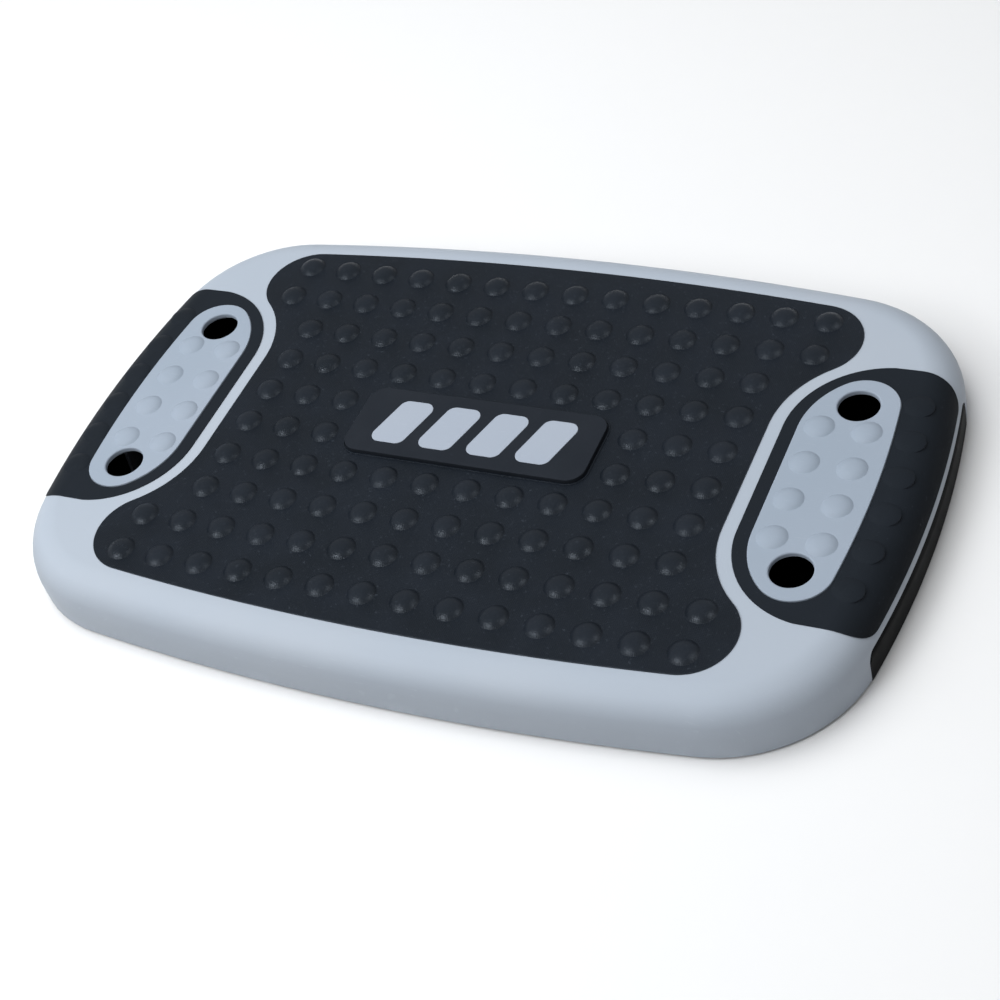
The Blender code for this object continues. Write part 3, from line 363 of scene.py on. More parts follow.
def mouldedPlastic(name, look):
    # satin moulding: fine grain, slow tone drift, painted shade that greys the wall below the top,
    # rubbed patches and scuffs
    made, tree, shader, coords, height = startMaterial(name)
    drift = noiseOf(tree, coords, look["driftScale"], detail=2)
    patches = noiseOf(tree, coords, look["patchScale"], detail=4)
    grain = noiseOf(tree, coords, look["grainScale"], detail=2)
    scratches = noiseOf(tree, coords, look["scratchScale"], detail=3,
                        stretch=look["scratchStretch"])
    # painted shade: below a height the colour is mixed towards a darker grey, fullest low on the
    # wall and gone near the top
    grime = ranged(tree, height, look["grimeFull"], look["grimeEnd"], look["grime"], 0)
    colour = mixedColour(tree, grime, baseTone(tree, drift, look), linear(*look["grimeColour"]))
    low = ranged(tree, height, deck["rim"], look["scuffHeight"], 1, 0)
    rub = ranged(tree, patches, *look["rubBand"], 0, look["scuff"])
    rubbed = mathOf(tree, "MULTIPLY", low, rub)
    hair = ranged(tree, scratches, *look["hairBand"], 0, look["scratch"])
    worn = mathOf(tree, "MAXIMUM", rubbed, hair)
    colour = mixedColour(tree, worn, colour, linear(*look["worn"]))
    rough = mathOf(tree, "ADD", patchyRoughness(tree, patches, look),
                   mathOf(tree, "MULTIPLY", worn, look["wornRough"]))
    normal = bumped(tree, grain, look["grainDepth"])
    normal = bumped(tree, drift, look["flowDepth"], normal)
    joinShader(tree, shader, colour, rough, normal, {"Specular IOR Level": look["gloss"]})
    return made


def mouldedRubber(name, look):
    # dark rubber: cross hatching on the flat, grain all over, dust in the hollows, and a painted
    # sheen that lightens the band just under the top
    made, tree, shader, coords, height = startMaterial(name)
    flat = look["flatTop"]
    patches = noiseOf(tree, coords, look["patchScale"], detail=4)
    dust = noiseOf(tree, coords, look["dustScale"], detail=5)
    grain = noiseOf(tree, coords, look["grainScale"], detail=2)
    lines = []
    for turn in (look["hatchTurn"], look["hatchTurn"] + math.pi / 2):
        mapping = addNode(tree, "ShaderNodeMapping", Vector=coords, Rotation=(0, 0, turn))
        wave = addNode(tree, "ShaderNodeTexWave", Vector=mapping.outputs["Vector"],
                       Scale=look["hatchScale"], Distortion=0.0)
        lines.append(wave.outputs["Fac"])
    hatch = mathOf(tree, "MULTIPLY", lines[0], lines[1])
    raised = ranged(tree, height, flat, flat + look["domeRise"], 0, 1)
    hatchLow, hatchHigh = look["hatchFade"]
    onFlat = ranged(tree, height, flat + hatchLow, flat + hatchHigh, 1, look["hatchOnDomes"])
    specks = ranged(tree, dust, *look["dustBand"], 0, look["dust"])
    worn = mathOf(tree, "MAXIMUM", specks, mathOf(tree, "MULTIPLY", raised, look["wear"]))
    # painted sheen: the band just under the flat top is mixed towards the lighter worn colour, so
    # the tops of the grips read lighter, as if lit from above
    edgeLow, edgeHigh = look["topEdge"]
    upper = ranged(tree, height, flat - edgeLow, flat - edgeHigh, 0, look["topWear"])
    worn = mathOf(tree, "MAXIMUM", worn, upper)
    colour = mixedColour(tree, worn, baseTone(tree, patches, look), linear(*look["worn"]))
    rough = mathOf(tree, "SUBTRACT", patchyRoughness(tree, patches, look),
                   mathOf(tree, "MULTIPLY", raised, look["polish"]))
    normal = bumped(tree, mathOf(tree, "MULTIPLY", hatch, onFlat), look["hatchDepth"])
    normal = bumped(tree, grain, look["grainDepth"], normal)
    joinShader(tree, shader, colour, rough, normal,
               {"Specular IOR Level": look["gloss"], "Specular Tint": look["shine"]})
    return made


def platedSteel(name, look):
    made, tree, shader, coords, _ = startMaterial(name)
    patches = noiseOf(tree, coords, look["patchScale"], detail=4)
    grain = noiseOf(tree, coords, look["grainScale"], detail=3)
    joinShader(tree, shader, baseTone(tree, patches, look), patchyRoughness(tree, patches, look),
               bumped(tree, grain, look["grainDepth"]), {"Metallic": 1.0})
    return made


plasticLook = {"colour": (166, 174, 184), "drift": (162, 171, 182), "worn": (188, 194, 202),
               "driftScale": 7.0, "patchScale": 34.0, "grainScale": 1900.0, "scratchScale": 90.0,
               "scratchStretch": (1, 14, 1), "rubBand": (0.5, 0.68), "hairBand": (0.66, 0.70),
               "scuffHeight": 0.016, "scuff": 0.2, "scratch": 0.10, "rough": 0.5,
               "roughSpread": (-0.05, 0.06), "wornRough": 0.25,
               # painted shade on the wall: its strength, the heights where it is full and where it
               # ends, and its grey
               "grime": 0.5, "grimeFull": 0.029, "grimeEnd": 0.042, "grimeColour": (128, 134, 142),
               "grainDepth": 0.00003, "flowDepth": 0.0002, "gloss": 0.3}
rubberLook = {"colour": (19, 24, 30), "drift": (23, 28, 35), "worn": (64, 70, 78),
              "patchScale": 26.0, "dustScale": 420.0, "grainScale": 1500.0,
              "hatchTurn": 0.0, "hatchScale": 230.0, "flatTop": 0.047, "wear": 0.06, "dust": 0.35,
              "domeRise": 0.0025, "hatchFade": (0.0008, 0.0016), "hatchOnDomes": 0.25,
              "dustBand": (0.63, 0.72), "topEdge": (0.013, 0.001), "roughSpread": (-0.05, 0.07),
              "rough": 0.43, "polish": 0.12, "hatchDepth": 0.00012, "grainDepth": 0.0002,
              "gloss": 0.85, "shine": (0.8, 0.89, 1.0, 1.0), "topWear": 0.0}
shellPlastic = mouldedPlastic("shellPlastic", plasticLook)
panelPlastic = mouldedPlastic("panelPlastic", {
    **plasticLook, "colour": (149, 159, 172), "drift": (145, 156, 169), "rough": 0.52})
padPlastic = mouldedPlastic("padPlastic", {
    **plasticLook, "colour": (157, 165, 177), "drift": (153, 162, 175), "rough": 0.54})
legPlastic = mouldedPlastic("legPlastic", {
    **plasticLook, "colour": (8, 9, 10), "drift": (11, 12, 13), "worn": (44, 46, 50),
    "rough": 0.55, "scuff": 0.06, "gloss": 0.07, "grime": 0.0})
treadRubber = mouldedRubber("treadRubber", rubberLook)
gripRubber = mouldedRubber("gripRubber", {
    **rubberLook, "colour": (16, 19, 22), "drift": (19, 22, 26), "hatchDepth": 0.00004,
    "grainDepth": 0.00004, "rough": 0.6, "gloss": 0.14, "wear": 0.02, "polish": 0.25,
    "topWear": 0.22})
plateRubber = mouldedRubber("plateRubber", {
    **rubberLook, "colour": (37, 40, 45), "drift": (40, 43, 48), "hatchDepth": 0.00006,
    "grainDepth": 0.00004, "dust": 0.2, "rough": 0.52, "gloss": 0.09})
footRubber = mouldedRubber("footRubber", {
    **rubberLook, "colour": (24, 25, 27), "drift": (29, 30, 33), "hatchDepth": 0.00003,
    "rough": 0.62, "gloss": 0.3})
zincSteel = platedSteel("zincSteel", {
    "colour": (176, 178, 182), "drift": (160, 163, 168), "patchScale": 220.0,
    "grainScale": 3000.0, "grainDepth": 0.00001, "rough": 0.34, "roughSpread": (-0.08, 0.1)})
print("materials made")


# Copies set out by Geometry Nodes

def startTree(name, sockets):
    # a Geometry Nodes tree with the named inputs and one output
    tree = bpy.data.node_groups.new(name, "GeometryNodeTree")
    for label, kind in sockets:
        tree.interface.new_socket(label, in_out="INPUT", socket_type="NodeSocket" + kind)
    tree.interface.new_socket("Result", in_out="OUTPUT", socket_type="NodeSocketGeometry")
    return tree, tree.nodes.new("NodeGroupInput").outputs


def endTree(tree, geometry, finish):
    painted = addNode(tree, "GeometryNodeSetMaterial", Geometry=geometry, Material=finish)
    result = tree.nodes.new("NodeGroupOutput")
    tree.links.new(painted.outputs["Geometry"], result.inputs["Result"])
    return tree


def pointValue(tree, name, kind):
    node = addNode(tree, "GeometryNodeInputNamedAttribute", {"data_type": kind}, Name=name)
    return node.outputs["Attribute"]


def standCopies(tree, points, piece, turn, size):
    copies = addNode(tree, "GeometryNodeInstanceOnPoints", Points=points, Instance=piece,
                     Rotation=turn.outputs[0], Scale=size.outputs["Vector"])
    solid = addNode(tree, "GeometryNodeRealizeInstances", in0=copies.outputs["Instances"])
    return solid.outputs["Geometry"]


def copiesTree():
    # stands a piece on every point, upright along the point's own direction, next to the base
    tree, given = startTree("copiesOnPoints", (
        ("Base", "Geometry"), ("Points", "Object"), ("Piece", "Object"), ("Width", "Float"),
        ("Height", "Float"), ("Finish", "Material")))
    spots = addNode(tree, "GeometryNodeObjectInfo", in0=given["Points"])
    piece = addNode(tree, "GeometryNodeObjectInfo", in0=given["Piece"])
    turn = addNode(tree, "FunctionNodeAlignRotationToVector", {"axis": "Z"},
                   Vector=pointValue(tree, "facing", "FLOAT_VECTOR"))
    size = addNode(tree, "ShaderNodeCombineXYZ", X=given["Width"], Y=given["Width"],
                   Z=given["Height"])
    solid = standCopies(tree, spots.outputs["Geometry"], piece.outputs["Geometry"], turn, size)
    joined = addNode(tree, "GeometryNodeJoinGeometry")
    tree.links.new(solid, joined.inputs["Geometry"])
    tree.links.new(given["Base"], joined.inputs["Geometry"])
    return endTree(tree, joined.outputs["Geometry"], given["Finish"])


def useTree(target, tree, values):
    modifier = target.modifiers.new(tree.name, "NODES")
    modifier.node_group = tree
    for item in tree.interface.items_tree:
        if item.item_type == "SOCKET" and item.name in values:
            modifier[item.identifier] = values[item.name]
    return baked(target)


def pointsObject(name, places):
    # (x, y, z) places, each with the direction that its copy points in
    mesh = bpy.data.meshes.new(name)
    mesh.from_pydata([place for place, _ in places], [], [])
    facing = mesh.attributes.new("facing", "FLOAT_VECTOR", "POINT")
    for index, (_, direction) in enumerate(places):
        facing.data[index].vector = direction
    return newObject(name, mesh)


copies = copiesTree()


def withCopies(base, places, piece, width, height, finish):
    spots = pointsObject(base.name + "Spots", places)
    made = useTree(base, copies, {"Points": spots, "Piece": piece, "Width": width,
                                  "Height": height, "Finish": finish})
    bpy.data.objects.remove(spots)
    return made


# the grips' domes lean, so they reach further down into the rubber
domeShape = {"sides": 28, "rings": 8, "flatness": 3, "flareHeight": 0.03, "flare": 0.015,
             "sunk": 0.12, "gripFlare": 0.008, "gripSunk": 1.5}


def unitDome(flare, sunk):
    # a flattish button, one unit across and one high, with a small flare round its foot
    profile = []
    for index in range(domeShape["rings"] + 1):
        share = math.sin(math.pi / 2 * index / domeShape["rings"])
        drop = share ** domeShape["flatness"] * (1 - domeShape["flareHeight"])
        profile.append((max(share / 2, nearAxis), 1 - drop))
    profile.append((0.5 + flare, 0.0))
    profile.append((0.5 + flare, -sunk))
    return turned("unitDome", profile, domeShape["sides"])


dome = unitDome(domeShape["flare"], domeShape["sunk"])
gripDome = unitDome(domeShape["gripFlare"], domeShape["gripSunk"])


# Deck: skin, ribs, posts and blocks

well = {"halfWidth": 0.121, "innerX": 0.1932, "openingWidth": 0.24, "lip": 0.025,
        "openingRound": 0.008, "lipEdge": 0.0012, "straightSteps": 6, "roundSteps": 8}
hinge = {"x": 0.309, "z": 0.008, "rod": 0.008, "seat": 0.012, "bossLength": 0.016,
         "bossHalfWidth": 0.0155, "capThickness": 0.0025, "capHalfWidth": 0.0135,
         "capSoften": 0.0003, "rodChamfer": 0.0005, "rodSides": 32, "barrelSides": 72,
         "seatSteps": 16, "screwSpots": ((-0.0078, 0.003), (0.0078, -0.003))}
hingePlace = Matrix.Translation((hinge["x"], 0, hinge["z"]))
ribs = {"thickness": 0.0025, "pitch": 0.062, "edgePitch": 0.05, "foot": 0.008, "soften": 0.0004,
        "intoSkin": 0.002}
legStop = {"width": 0.11, "thickness": 0.0025, "bite": 0.002}
openAngle = math.radians(97)
soleLean = openAngle - math.pi / 2
heelTop = well["lip"] - seam
corners = {"x": halfLength - 0.080, "y": halfWidth - 0.058, "diameter": 0.026, "height": 0.0045,
           "stem": 0.009, "stemLength": 0.009, "wall": 0.004, "postTop": 0.044,
           "postSides": 32}


def deckForm(name, inset, low):
    # a solid like the deck, a steady distance inside its skin
    top = deck["top"] - inset
    edgeRound = deck["edge"] - inset
    rings = [[(x, y, low) for x, y in deckOutline(inset)]]
    for across, below in quarterRound(deck["edgeSteps"]):
        outline = deckOutline(inset + edgeRound * across)
        rings.append([(x, y, top - edgeRound * below) for x, y in outline])
    return lofted(name, rings)


def deckSkin():
    # one wall thick, with a softened rim: down the inside, round the rim and up the outside
    soft = deck["rimRound"]
    innerRound = deck["edge"] - deck["wall"]
    outer = []
    inner = []
    for across, below in quarterRound(deck["edgeSteps"]):
        outer.append((deck["edge"] * across, deck["top"] - deck["edge"] * below))
        inner.append((deck["wall"] + innerRound * across, deck["innerTop"] - innerRound * below))
    rim = [(deck["wall"], deck["rim"] + soft), (deck["wall"] - soft, deck["rim"]),
           (soft, deck["rim"]), (0.0, deck["rim"] + soft)]
    rings = []
    for inset, z in list(reversed(inner)) + rim + outer:
        rings.append([(x, y, z) for x, y in deckOutline(inset)])
    return lofted("deckShell", rings)


def endOpening():
    half = well["openingWidth"] / 2
    outline = roundedPolygon(rectangle(-half, -reach, half, well["lip"]), well["openingRound"],
                             well["roundSteps"])
    made = flatPiece("endOpening", [outline], -reach / 2, reach / 2)
    made.data.transform(Matrix.Translation((halfLength, 0, 0)) @ quarterZ @ quarterX)
    return made


def hingeBarrel(name, clearance):
    # the barrel that the leg's root turns in, fitted to the curved end and the round corners
    straight = well["openingWidth"] / 2 - well["openingRound"]
    steps = well["straightSteps"]
    edge = [(straight * index / steps, well["lip"]) for index in range(steps)]
    edge += arcPoints((straight, well["lip"] - well["openingRound"]),
                      well["openingRound"] - nearAxis, math.pi / 2, 0, well["roundSteps"])
    half = []
    for y, z in edge:
        lipX = deckEndX(y) - edgeInset(z) - well["lipEdge"]
        half.append((math.hypot(lipX - hinge["x"], z - hinge["z"]) - clearance, y))
    profile = list(reversed(half)) + [(radius, -y) for radius, y in half[1:]]
    return turned(name, profile, hinge["barrelSides"], hingePlace @ quarterX)


def ribTree():
    # a wall on every point, as long as the point says, kept inside the form
    tree, given = startTree("ribsInForm", (
        ("Points", "Geometry"), ("Form", "Object"), ("Thickness", "Float"), ("Height", "Float"),
        ("Finish", "Material")))
    form = addNode(tree, "GeometryNodeObjectInfo", in0=given["Form"])
    size = addNode(tree, "ShaderNodeCombineXYZ", X=pointValue(tree, "length", "FLOAT"),
                   Y=given["Thickness"], Z=given["Height"])
    angle = addNode(tree, "ShaderNodeCombineXYZ", Z=pointValue(tree, "turn", "FLOAT"))
    wall = addNode(tree, "GeometryNodeMeshCube", Size=(1, 1, 1))
    solid = standCopies(tree, given["Points"], wall.outputs["Mesh"], angle, size)
    kept = addNode(tree, "GeometryNodeMeshBoolean", {"operation": "INTERSECT", "solver": "EXACT"})
    kept.inputs["Self Intersection"].default_value = True
    tree.links.new(solid, kept.inputs["Mesh 2"])
    tree.links.new(form.outputs["Geometry"], kept.inputs["Mesh 2"])
    return endTree(tree, kept.outputs["Mesh"], given["Finish"])


def spread(low, high, pitch):
    count = max(1, round((high - low) / pitch))
    return [low + (high - low) * index / count for index in range(count + 1)]


def ribLines():
    # (x, y, length, turn) of every rib, the walls of the leg wells among them
    wellLine = well["innerX"] - ribs["thickness"] / 2
    sideLine = well["halfWidth"] + ribs["thickness"] / 2
    acrossX = spread(-wellLine, wellLine, ribs["pitch"])
    innerY = spread(-sideLine, sideLine, ribs["pitch"])[1:-1]
    outerY = spread(sideLine, halfWidth, ribs["edgePitch"])[:-1]
    step = acrossX[1] - acrossX[0]
    # the short ribs stop half a step or more from the end
    extra = math.floor((halfLength - wellLine) / step - 0.5)
    lines = [(0, y, 2 * wellLine, 0) for y in innerY]
    lines += [(0, side * y, deck["length"], 0) for y in outerY for side in (1, -1)]
    lines += [(x, 0, deck["width"], math.pi / 2) for x in acrossX]
    short = halfWidth - sideLine
    middle = sideLine + short / 2
    for index in range(extra):
        x = wellLine + step * (index + 1)
        lines += [(end * x, side * middle, short, math.pi / 2)
                  for end in (1, -1) for side in (1, -1)]
    return lines


def deckRibs(form):
    lines = ribLines()
    height = deck["top"] - ribs["foot"]
    mesh = bpy.data.meshes.new("deckRibs")
    mesh.from_pydata([(x, y, ribs["foot"] + height / 2) for x, y, _, _ in lines], [], [])
    length = mesh.attributes.new("length", "FLOAT", "POINT")
    turn = mesh.attributes.new("turn", "FLOAT", "POINT")
    for index, (_, _, span, angle) in enumerate(lines):
        length.data[index].value = span
        turn.data[index].value = angle
    return useTree(newObject("deckRibs", mesh), ribTree(),
                   {"Form": form, "Thickness": ribs["thickness"], "Height": height,
                    "Finish": shellPlastic})


def hingeBlocks(form):
    # blocks with open seats for the ends of the rod
    pairs = []
    for side in (1, -1):
        south, north = sorted((side * well["halfWidth"],
                               side * (well["halfWidth"] + hinge["bossLength"])))
        pairs.append(((hinge["x"] - hinge["bossHalfWidth"], south, hinge["z"] - hinge["rod"] / 2),
                      (hinge["x"] + hinge["bossHalfWidth"], north, deck["top"])))
    made = carve(boxes("hingeBlocks", pairs), form, "INTERSECT", keep=True)
    bore = hinge["rod"] / 2 + seam
    slot = arcPoints((0, 0), bore, 0, math.pi, hinge["seatSteps"])
    slot += [(-bore, -hinge["z"]), (bore, -hinge["z"])]
    span = well["halfWidth"] + hinge["seat"] + seam
    seat = flatPiece("rodSeat", [slot], -span, span)
    seat.data.transform(hingePlace @ quarterX)
    return carve(made, seat)


def stopRib():
    # the leaning rib that an open leg rests against
    near = heelTop - hinge["z"] + seam
    far = near + legStop["thickness"]
    rise = deck["innerTop"] + legStop["bite"] - hinge["z"]
    top = (rise + far * math.sin(soleLean)) / math.cos(soleLean)
    half = legStop["width"] / 2
    made = boxes("legStop", [((-far, -half, 0.0), (-near, half, top))])
    made.data.transform(hingePlace @ Matrix.Rotation(-soleLean, 4, "Y"))
    return made


def cornerPost():
    # the profile of a post with a bore for a foot's stem
    mouth = deck["rim"] + corners["height"]
    radius = corners["stem"] / 2 + corners["wall"]
    bore = corners["stem"] / 2 + seam
    floor = mouth + corners["stemLength"] + seam
    return [(nearAxis, floor), (bore, floor), (bore, mouth), (radius, mouth),
            (radius, corners["postTop"]), (nearAxis, corners["postTop"])]


def joinedInto(name, pieces):
    shape = bmesh.new()
    for piece in pieces:
        shape.from_mesh(piece.data)
        bpy.data.objects.remove(piece)
    return fromShape(name, shape)


def buildDeck():
    skin = deckSkin()
    barrel = hingeBarrel("barrelCut", 0.0)
    opening = endOpening()
    for cutter in (opening, turnedCopy(opening, "openingLeft"), barrel,
                   turnedCopy(barrel, "barrelLeft")):
        skin = carve(skin, cutter)
    skin = carve(skin, handHoles(panel["hole"] / 2 + panel["relief"]))
    form = deckForm("insideForm", ribs["intoSkin"], ribs["foot"] - reach)
    pieces = [deckRibs(form)]
    blocks = hingeBlocks(form)
    pieces += [blocks, turnedCopy(blocks, "blocksLeft")]
    stop = stopRib()
    pieces += [stop, turnedCopy(stop, "stopLeft")]
    for end in (1, -1):
        for side in (1, -1):
            place = Matrix.Translation((end * corners["x"], side * corners["y"], 0))
            pieces.append(turned("cornerPost", cornerPost(), corners["postSides"], place))
    inside = shaded(softened(joinedInto("deckInside", pieces), ribs["soften"], segments=1))
    bpy.data.objects.remove(form)
    skin = shaded(skin)
    dress(skin, shellPlastic, "deck", "grey_plastic", "deck_shell")
    dress(inside, shellPlastic, "deck", "grey_plastic")
    print("deck made")


# Tread mat, name plate and its plain pads

tread = {"top": 0.047, "low": 0.0448, "sideMargin": 0.0314, "sideArc": 2.295, "lobe": 0.037,
         "endMargin": 0.0105, "soften": 0.0006, "domePitchX": 0.034, "domePitchY": 0.0353,
         "domeDiameter": 0.0215, "domeHeight": 0.0048, "domeMargin": 0.001, "waistSteps": 18,
         "lobeSteps": 24, "sideSteps": 12}
plate = {"length": 0.196, "width": 0.066, "round": 0.013, "low": 0.0463, "top": 0.0505,
         "soften": 0.0006, "beadNear": 0.0007, "beadFar": 0.0019, "beadHeight": 0.0007,
         "beadSoften": 0.0004, "roundSteps": 12}
pad = {"count": 4, "width": 0.029, "height": 0.044, "pitch": 0.0395, "slant": 0.3,
       "round": 0.0075, "low": 0.0496, "top": 0.0508, "soften": 0.0003, "roundSteps": 10}
grip = {"depth": 0.1187, "width": 0.241, "corner": 0.070, "lowEdge": 0.030, "proud": 0.0007,
        "lining": 0.001, "soften": 0.0005, "softenFrom": 50, "lowCorner": 0.021, "domes": 6,
        "domeInset": 0.0264, "domePitch": 0.0342, "domeDiameter": 0.0215, "domeHeight": 0.002,
        "domeSink": 0.0004, "domeLean": math.radians(3), "cornerSteps": 24, "lowSteps": 12}
panel = {"inset": 0.0382, "depth": 0.0698, "length": 0.208, "outerCorner": 0.027,
         "innerCorner": 0.062, "low": 0.0443, "top": 0.0478, "soften": 0.0007,
         "domeInset": 0.0153, "domePitch": 0.03527, "domeHeight": 0.0028, "hole": 0.030,
         "holeFromInner": 0.0363, "holeFromEnd": 0.0261, "relief": 0.002, "lip": 0.0013,
         "domeColumns": (0, 1), "domeRows": (-1.5, -0.5, 0.5, 1.5), "screwRows": (-1, 0, 1),
         "lipSteps": 6, "holeSides": 64, "reliefSides": 48, "reliefTop": 0.06,
         "endSteps": 8, "outerSteps": 20, "innerSteps": 16}
gripInnerX = halfLength - grip["depth"]
panelOuterX = halfLength - panel["inset"]
panelInnerX = panelOuterX - panel["depth"]


def matOutline():
    # a quarter is the hollow round a grip, a lobe and the long side
    side = (0.0, halfWidth - tread["sideMargin"] - tread["sideArc"])
    waist = (gripInnerX + grip["corner"], grip["width"] / 2 - grip["corner"])
    waistRadius = grip["corner"] + tread["endMargin"]
    lobe = circlesMeet(side, tread["sideArc"] - tread["lobe"], waist, waistRadius + tread["lobe"])
    turn = bearing(waist, lobe)
    sideTurn = bearing(side, lobe)
    quarter = [(waist[0] - waistRadius, 0.0)]
    quarter += arcPoints(waist, waistRadius, math.pi, turn, tread["waistSteps"])
    quarter += arcPoints(lobe, tread["lobe"], turn - math.pi, sideTurn, tread["lobeSteps"])[1:]
    quarter += arcPoints(side, tread["sideArc"], sideTurn, math.pi / 2, tread["sideSteps"])[1:]
    return fourQuarters(quarter)


def plateOutline(grow=0.0):
    across = plate["length"] / 2 + grow
    up = plate["width"] / 2 + grow
    return roundedPolygon(rectangle(-across, -up, across, up), plate["round"] + grow,
                          plate["roundSteps"])


def padOutline(index):
    up = pad["height"] / 2
    half = pad["width"] / 2
    lean = pad["slant"] * up
    x = (index - (pad["count"] - 1) / 2) * pad["pitch"]
    return roundedPolygon([(x - half - lean, -up), (x + half - lean, -up),
                           (x + half + lean, up), (x - half + lean, up)], pad["round"],
                          pad["roundSteps"])


def distanceInside(point, outline):
    # how far a point lies inside a closed outline, or less than nothing outside it
    inside = False
    nearest = math.inf
    for index, end in enumerate(outline):
        start = outline[index - 1]
        edge = Vector(end) - Vector(start)
        away = Vector(point) - Vector(start)
        share = min(max(away.dot(edge) / edge.length_squared, 0), 1)
        nearest = min(nearest, (away - edge * share).length)
        if (start[1] > point[1]) != (end[1] > point[1]):
            if start[0] + (point[1] - start[1]) * edge.x / edge.y > point[0]:
                inside = not inside
    return nearest if inside else -nearest


def treadDomePlaces():
    room = tread["domeDiameter"] / 2 + tread["domeMargin"]
    outline = matOutline()
    border = plateOutline()
    places = []
    columns = math.ceil(halfLength / tread["domePitchX"])
    rows = math.ceil(halfWidth / tread["domePitchY"])
    for column in range(-columns, columns):
        for row in range(-rows, rows):
            x = (column + 0.5) * tread["domePitchX"]
            y = (row + 0.5) * tread["domePitchY"]
            if distanceInside((x, y), outline) >= room and distanceInside((x, y), border) <= -room:
                places.append(((x, y, tread["top"]), (0, 0, 1)))
    return places


def buildTread():
    mat = flatPiece("treadMat", [matOutline()], tread["low"], tread["top"], tread["soften"])
    mat = withCopies(mat, treadDomePlaces(), dome, tread["domeDiameter"], tread["domeHeight"],
                     treadRubber)
    bead = flatPiece("plateBead", [plateOutline(plate["beadFar"]), plateOutline(plate["beadNear"])],
                     tread["low"], tread["top"] + plate["beadHeight"], plate["beadSoften"])
    mat = joinedInto("treadMat", [mat, bead])
    dress(shaded(mat), treadRubber, "deck", "black_rubber", "tread_mat")
    shield = flatPiece("namePlate", [plateOutline()], plate["low"], plate["top"],
                       plate["soften"], steps=3)
    dress(shaded(shield), plateRubber, "deck", "black_plastic", "name_plate")
    for index in range(pad["count"]):
        made = flatPiece(f"platePad{index + 1}", [padOutline(index)], pad["low"], pad["top"],
                         pad["soften"])
        dress(shaded(made), padPlastic, "deck", "pale_grey_plastic", f"plate_inlay_{index + 1}")
    print("tread made")


# End grips and the panels in them

def gripOutline():
    half = grip["width"] / 2
    centre = (gripInnerX + grip["corner"], half - grip["corner"])
    outer = halfLength + reach
    points = [(outer, 0.0), (outer, half)]
    points += arcPoints(centre, grip["corner"], math.pi / 2, math.pi, grip["cornerSteps"])
    return twoHalves(points + [(gripInnerX, 0.0)])


def panelOutline(grow=0.0):
    half = panel["length"] / 2
    sideRadius = deck["endArc"] - panel["inset"]
    outerY = half - panel["outerCorner"]
    outerX = endCentre[0] + math.sqrt((sideRadius - panel["outerCorner"]) ** 2 - outerY ** 2)
    turn = bearing(endCentre, (outerX, outerY))
    innerX = panelInnerX + panel["innerCorner"]
    apart = panel["innerCorner"] - panel["outerCorner"]
    inner = (innerX, outerY - math.sqrt(apart ** 2 - (innerX - outerX) ** 2))
    blend = bearing(inner, (outerX, outerY))
    points = arcPoints(endCentre, sideRadius + grow, 0, turn, panel["endSteps"])
    points += arcPoints((outerX, outerY), panel["outerCorner"] + grow, turn, blend,
                        panel["outerSteps"])[1:]
    points += arcPoints(inner, panel["innerCorner"] + grow, blend, math.pi,
                        panel["innerSteps"])[1:]
    return twoHalves(points + [(panelInnerX - grow, 0.0)])


def holeCentres():
    x = panelInnerX + panel["holeFromInner"]
    y = panel["length"] / 2 - panel["holeFromEnd"]
    return [(x, y), (x, -y)]


def handHoles(radius):
    pieces = []
    for x, y in holeCentres():
        for end in (1, -1):
            pieces.append(turned("handHole", [(radius, 0), (radius, panel["reliefTop"])],
                                 panel["reliefSides"], Matrix.Translation((end * x, end * y, 0))))
    return joinedInto("handHoles", pieces)


def gripDomePlaces():
    places = []
    z = deck["top"] + grip["proud"] - grip["domeSink"]
    for index in range(grip["domes"]):
        y = (index - (grip["domes"] - 1) / 2) * grip["domePitch"]
        turn = math.asin(y / deck["endArc"])
        lean = math.sin(grip["domeLean"])
        facing = (lean * math.cos(turn), lean * math.sin(turn), math.cos(grip["domeLean"]))
        places.append(((deckEndX(y) - grip["domeInset"], y, z), facing))
    return places


def gripFront():
    # the grip seen from its end, with rounded lower corners
    half = grip["width"] / 2
    outline = roundedPolygon(rectangle(-half, grip["lowEdge"], half, deck["top"] + reach),
                             grip["lowCorner"], grip["lowSteps"])
    made = flatPiece("gripFront", [outline], gripInnerX - reach, halfLength + reach)
    made.data.transform(quarterZ @ quarterX)
    return made


def buildGrips():
    blank = flatPiece("endGripRight", [gripOutline(), panelOutline(seam)], 0.0, deck["top"] + reach)
    made = carve(blank, gripFront(), "INTERSECT")
    made = carve(made, deckForm("gripSkin", -grip["proud"], 0.0), "INTERSECT")
    made = carve(made, deckForm("gripLining", grip["lining"], 0.0))
    made = softened(made, grip["soften"], angle=grip["softenFrom"])
    made = withCopies(made, gripDomePlaces(), gripDome, grip["domeDiameter"], grip["domeHeight"],
                      gripRubber)
    dressBoth(shaded(made), gripRubber, "black_rubber", "end_grip")
    print("grips made")


def lippedHole(place):
    # a bore that opens out in a rounded lip at the panel's top
    bore = panel["hole"] / 2
    profile = [(bore, 0.0), (bore, panel["top"] - panel["lip"])]
    for across, below in quarterRound(panel["lipSteps"])[1:]:
        profile.append((bore + panel["lip"] * across, panel["top"] - panel["lip"] * below))
    profile.append((bore + panel["lip"], panel["top"] + reach))
    return turned("lippedHole", profile, panel["holeSides"], place)


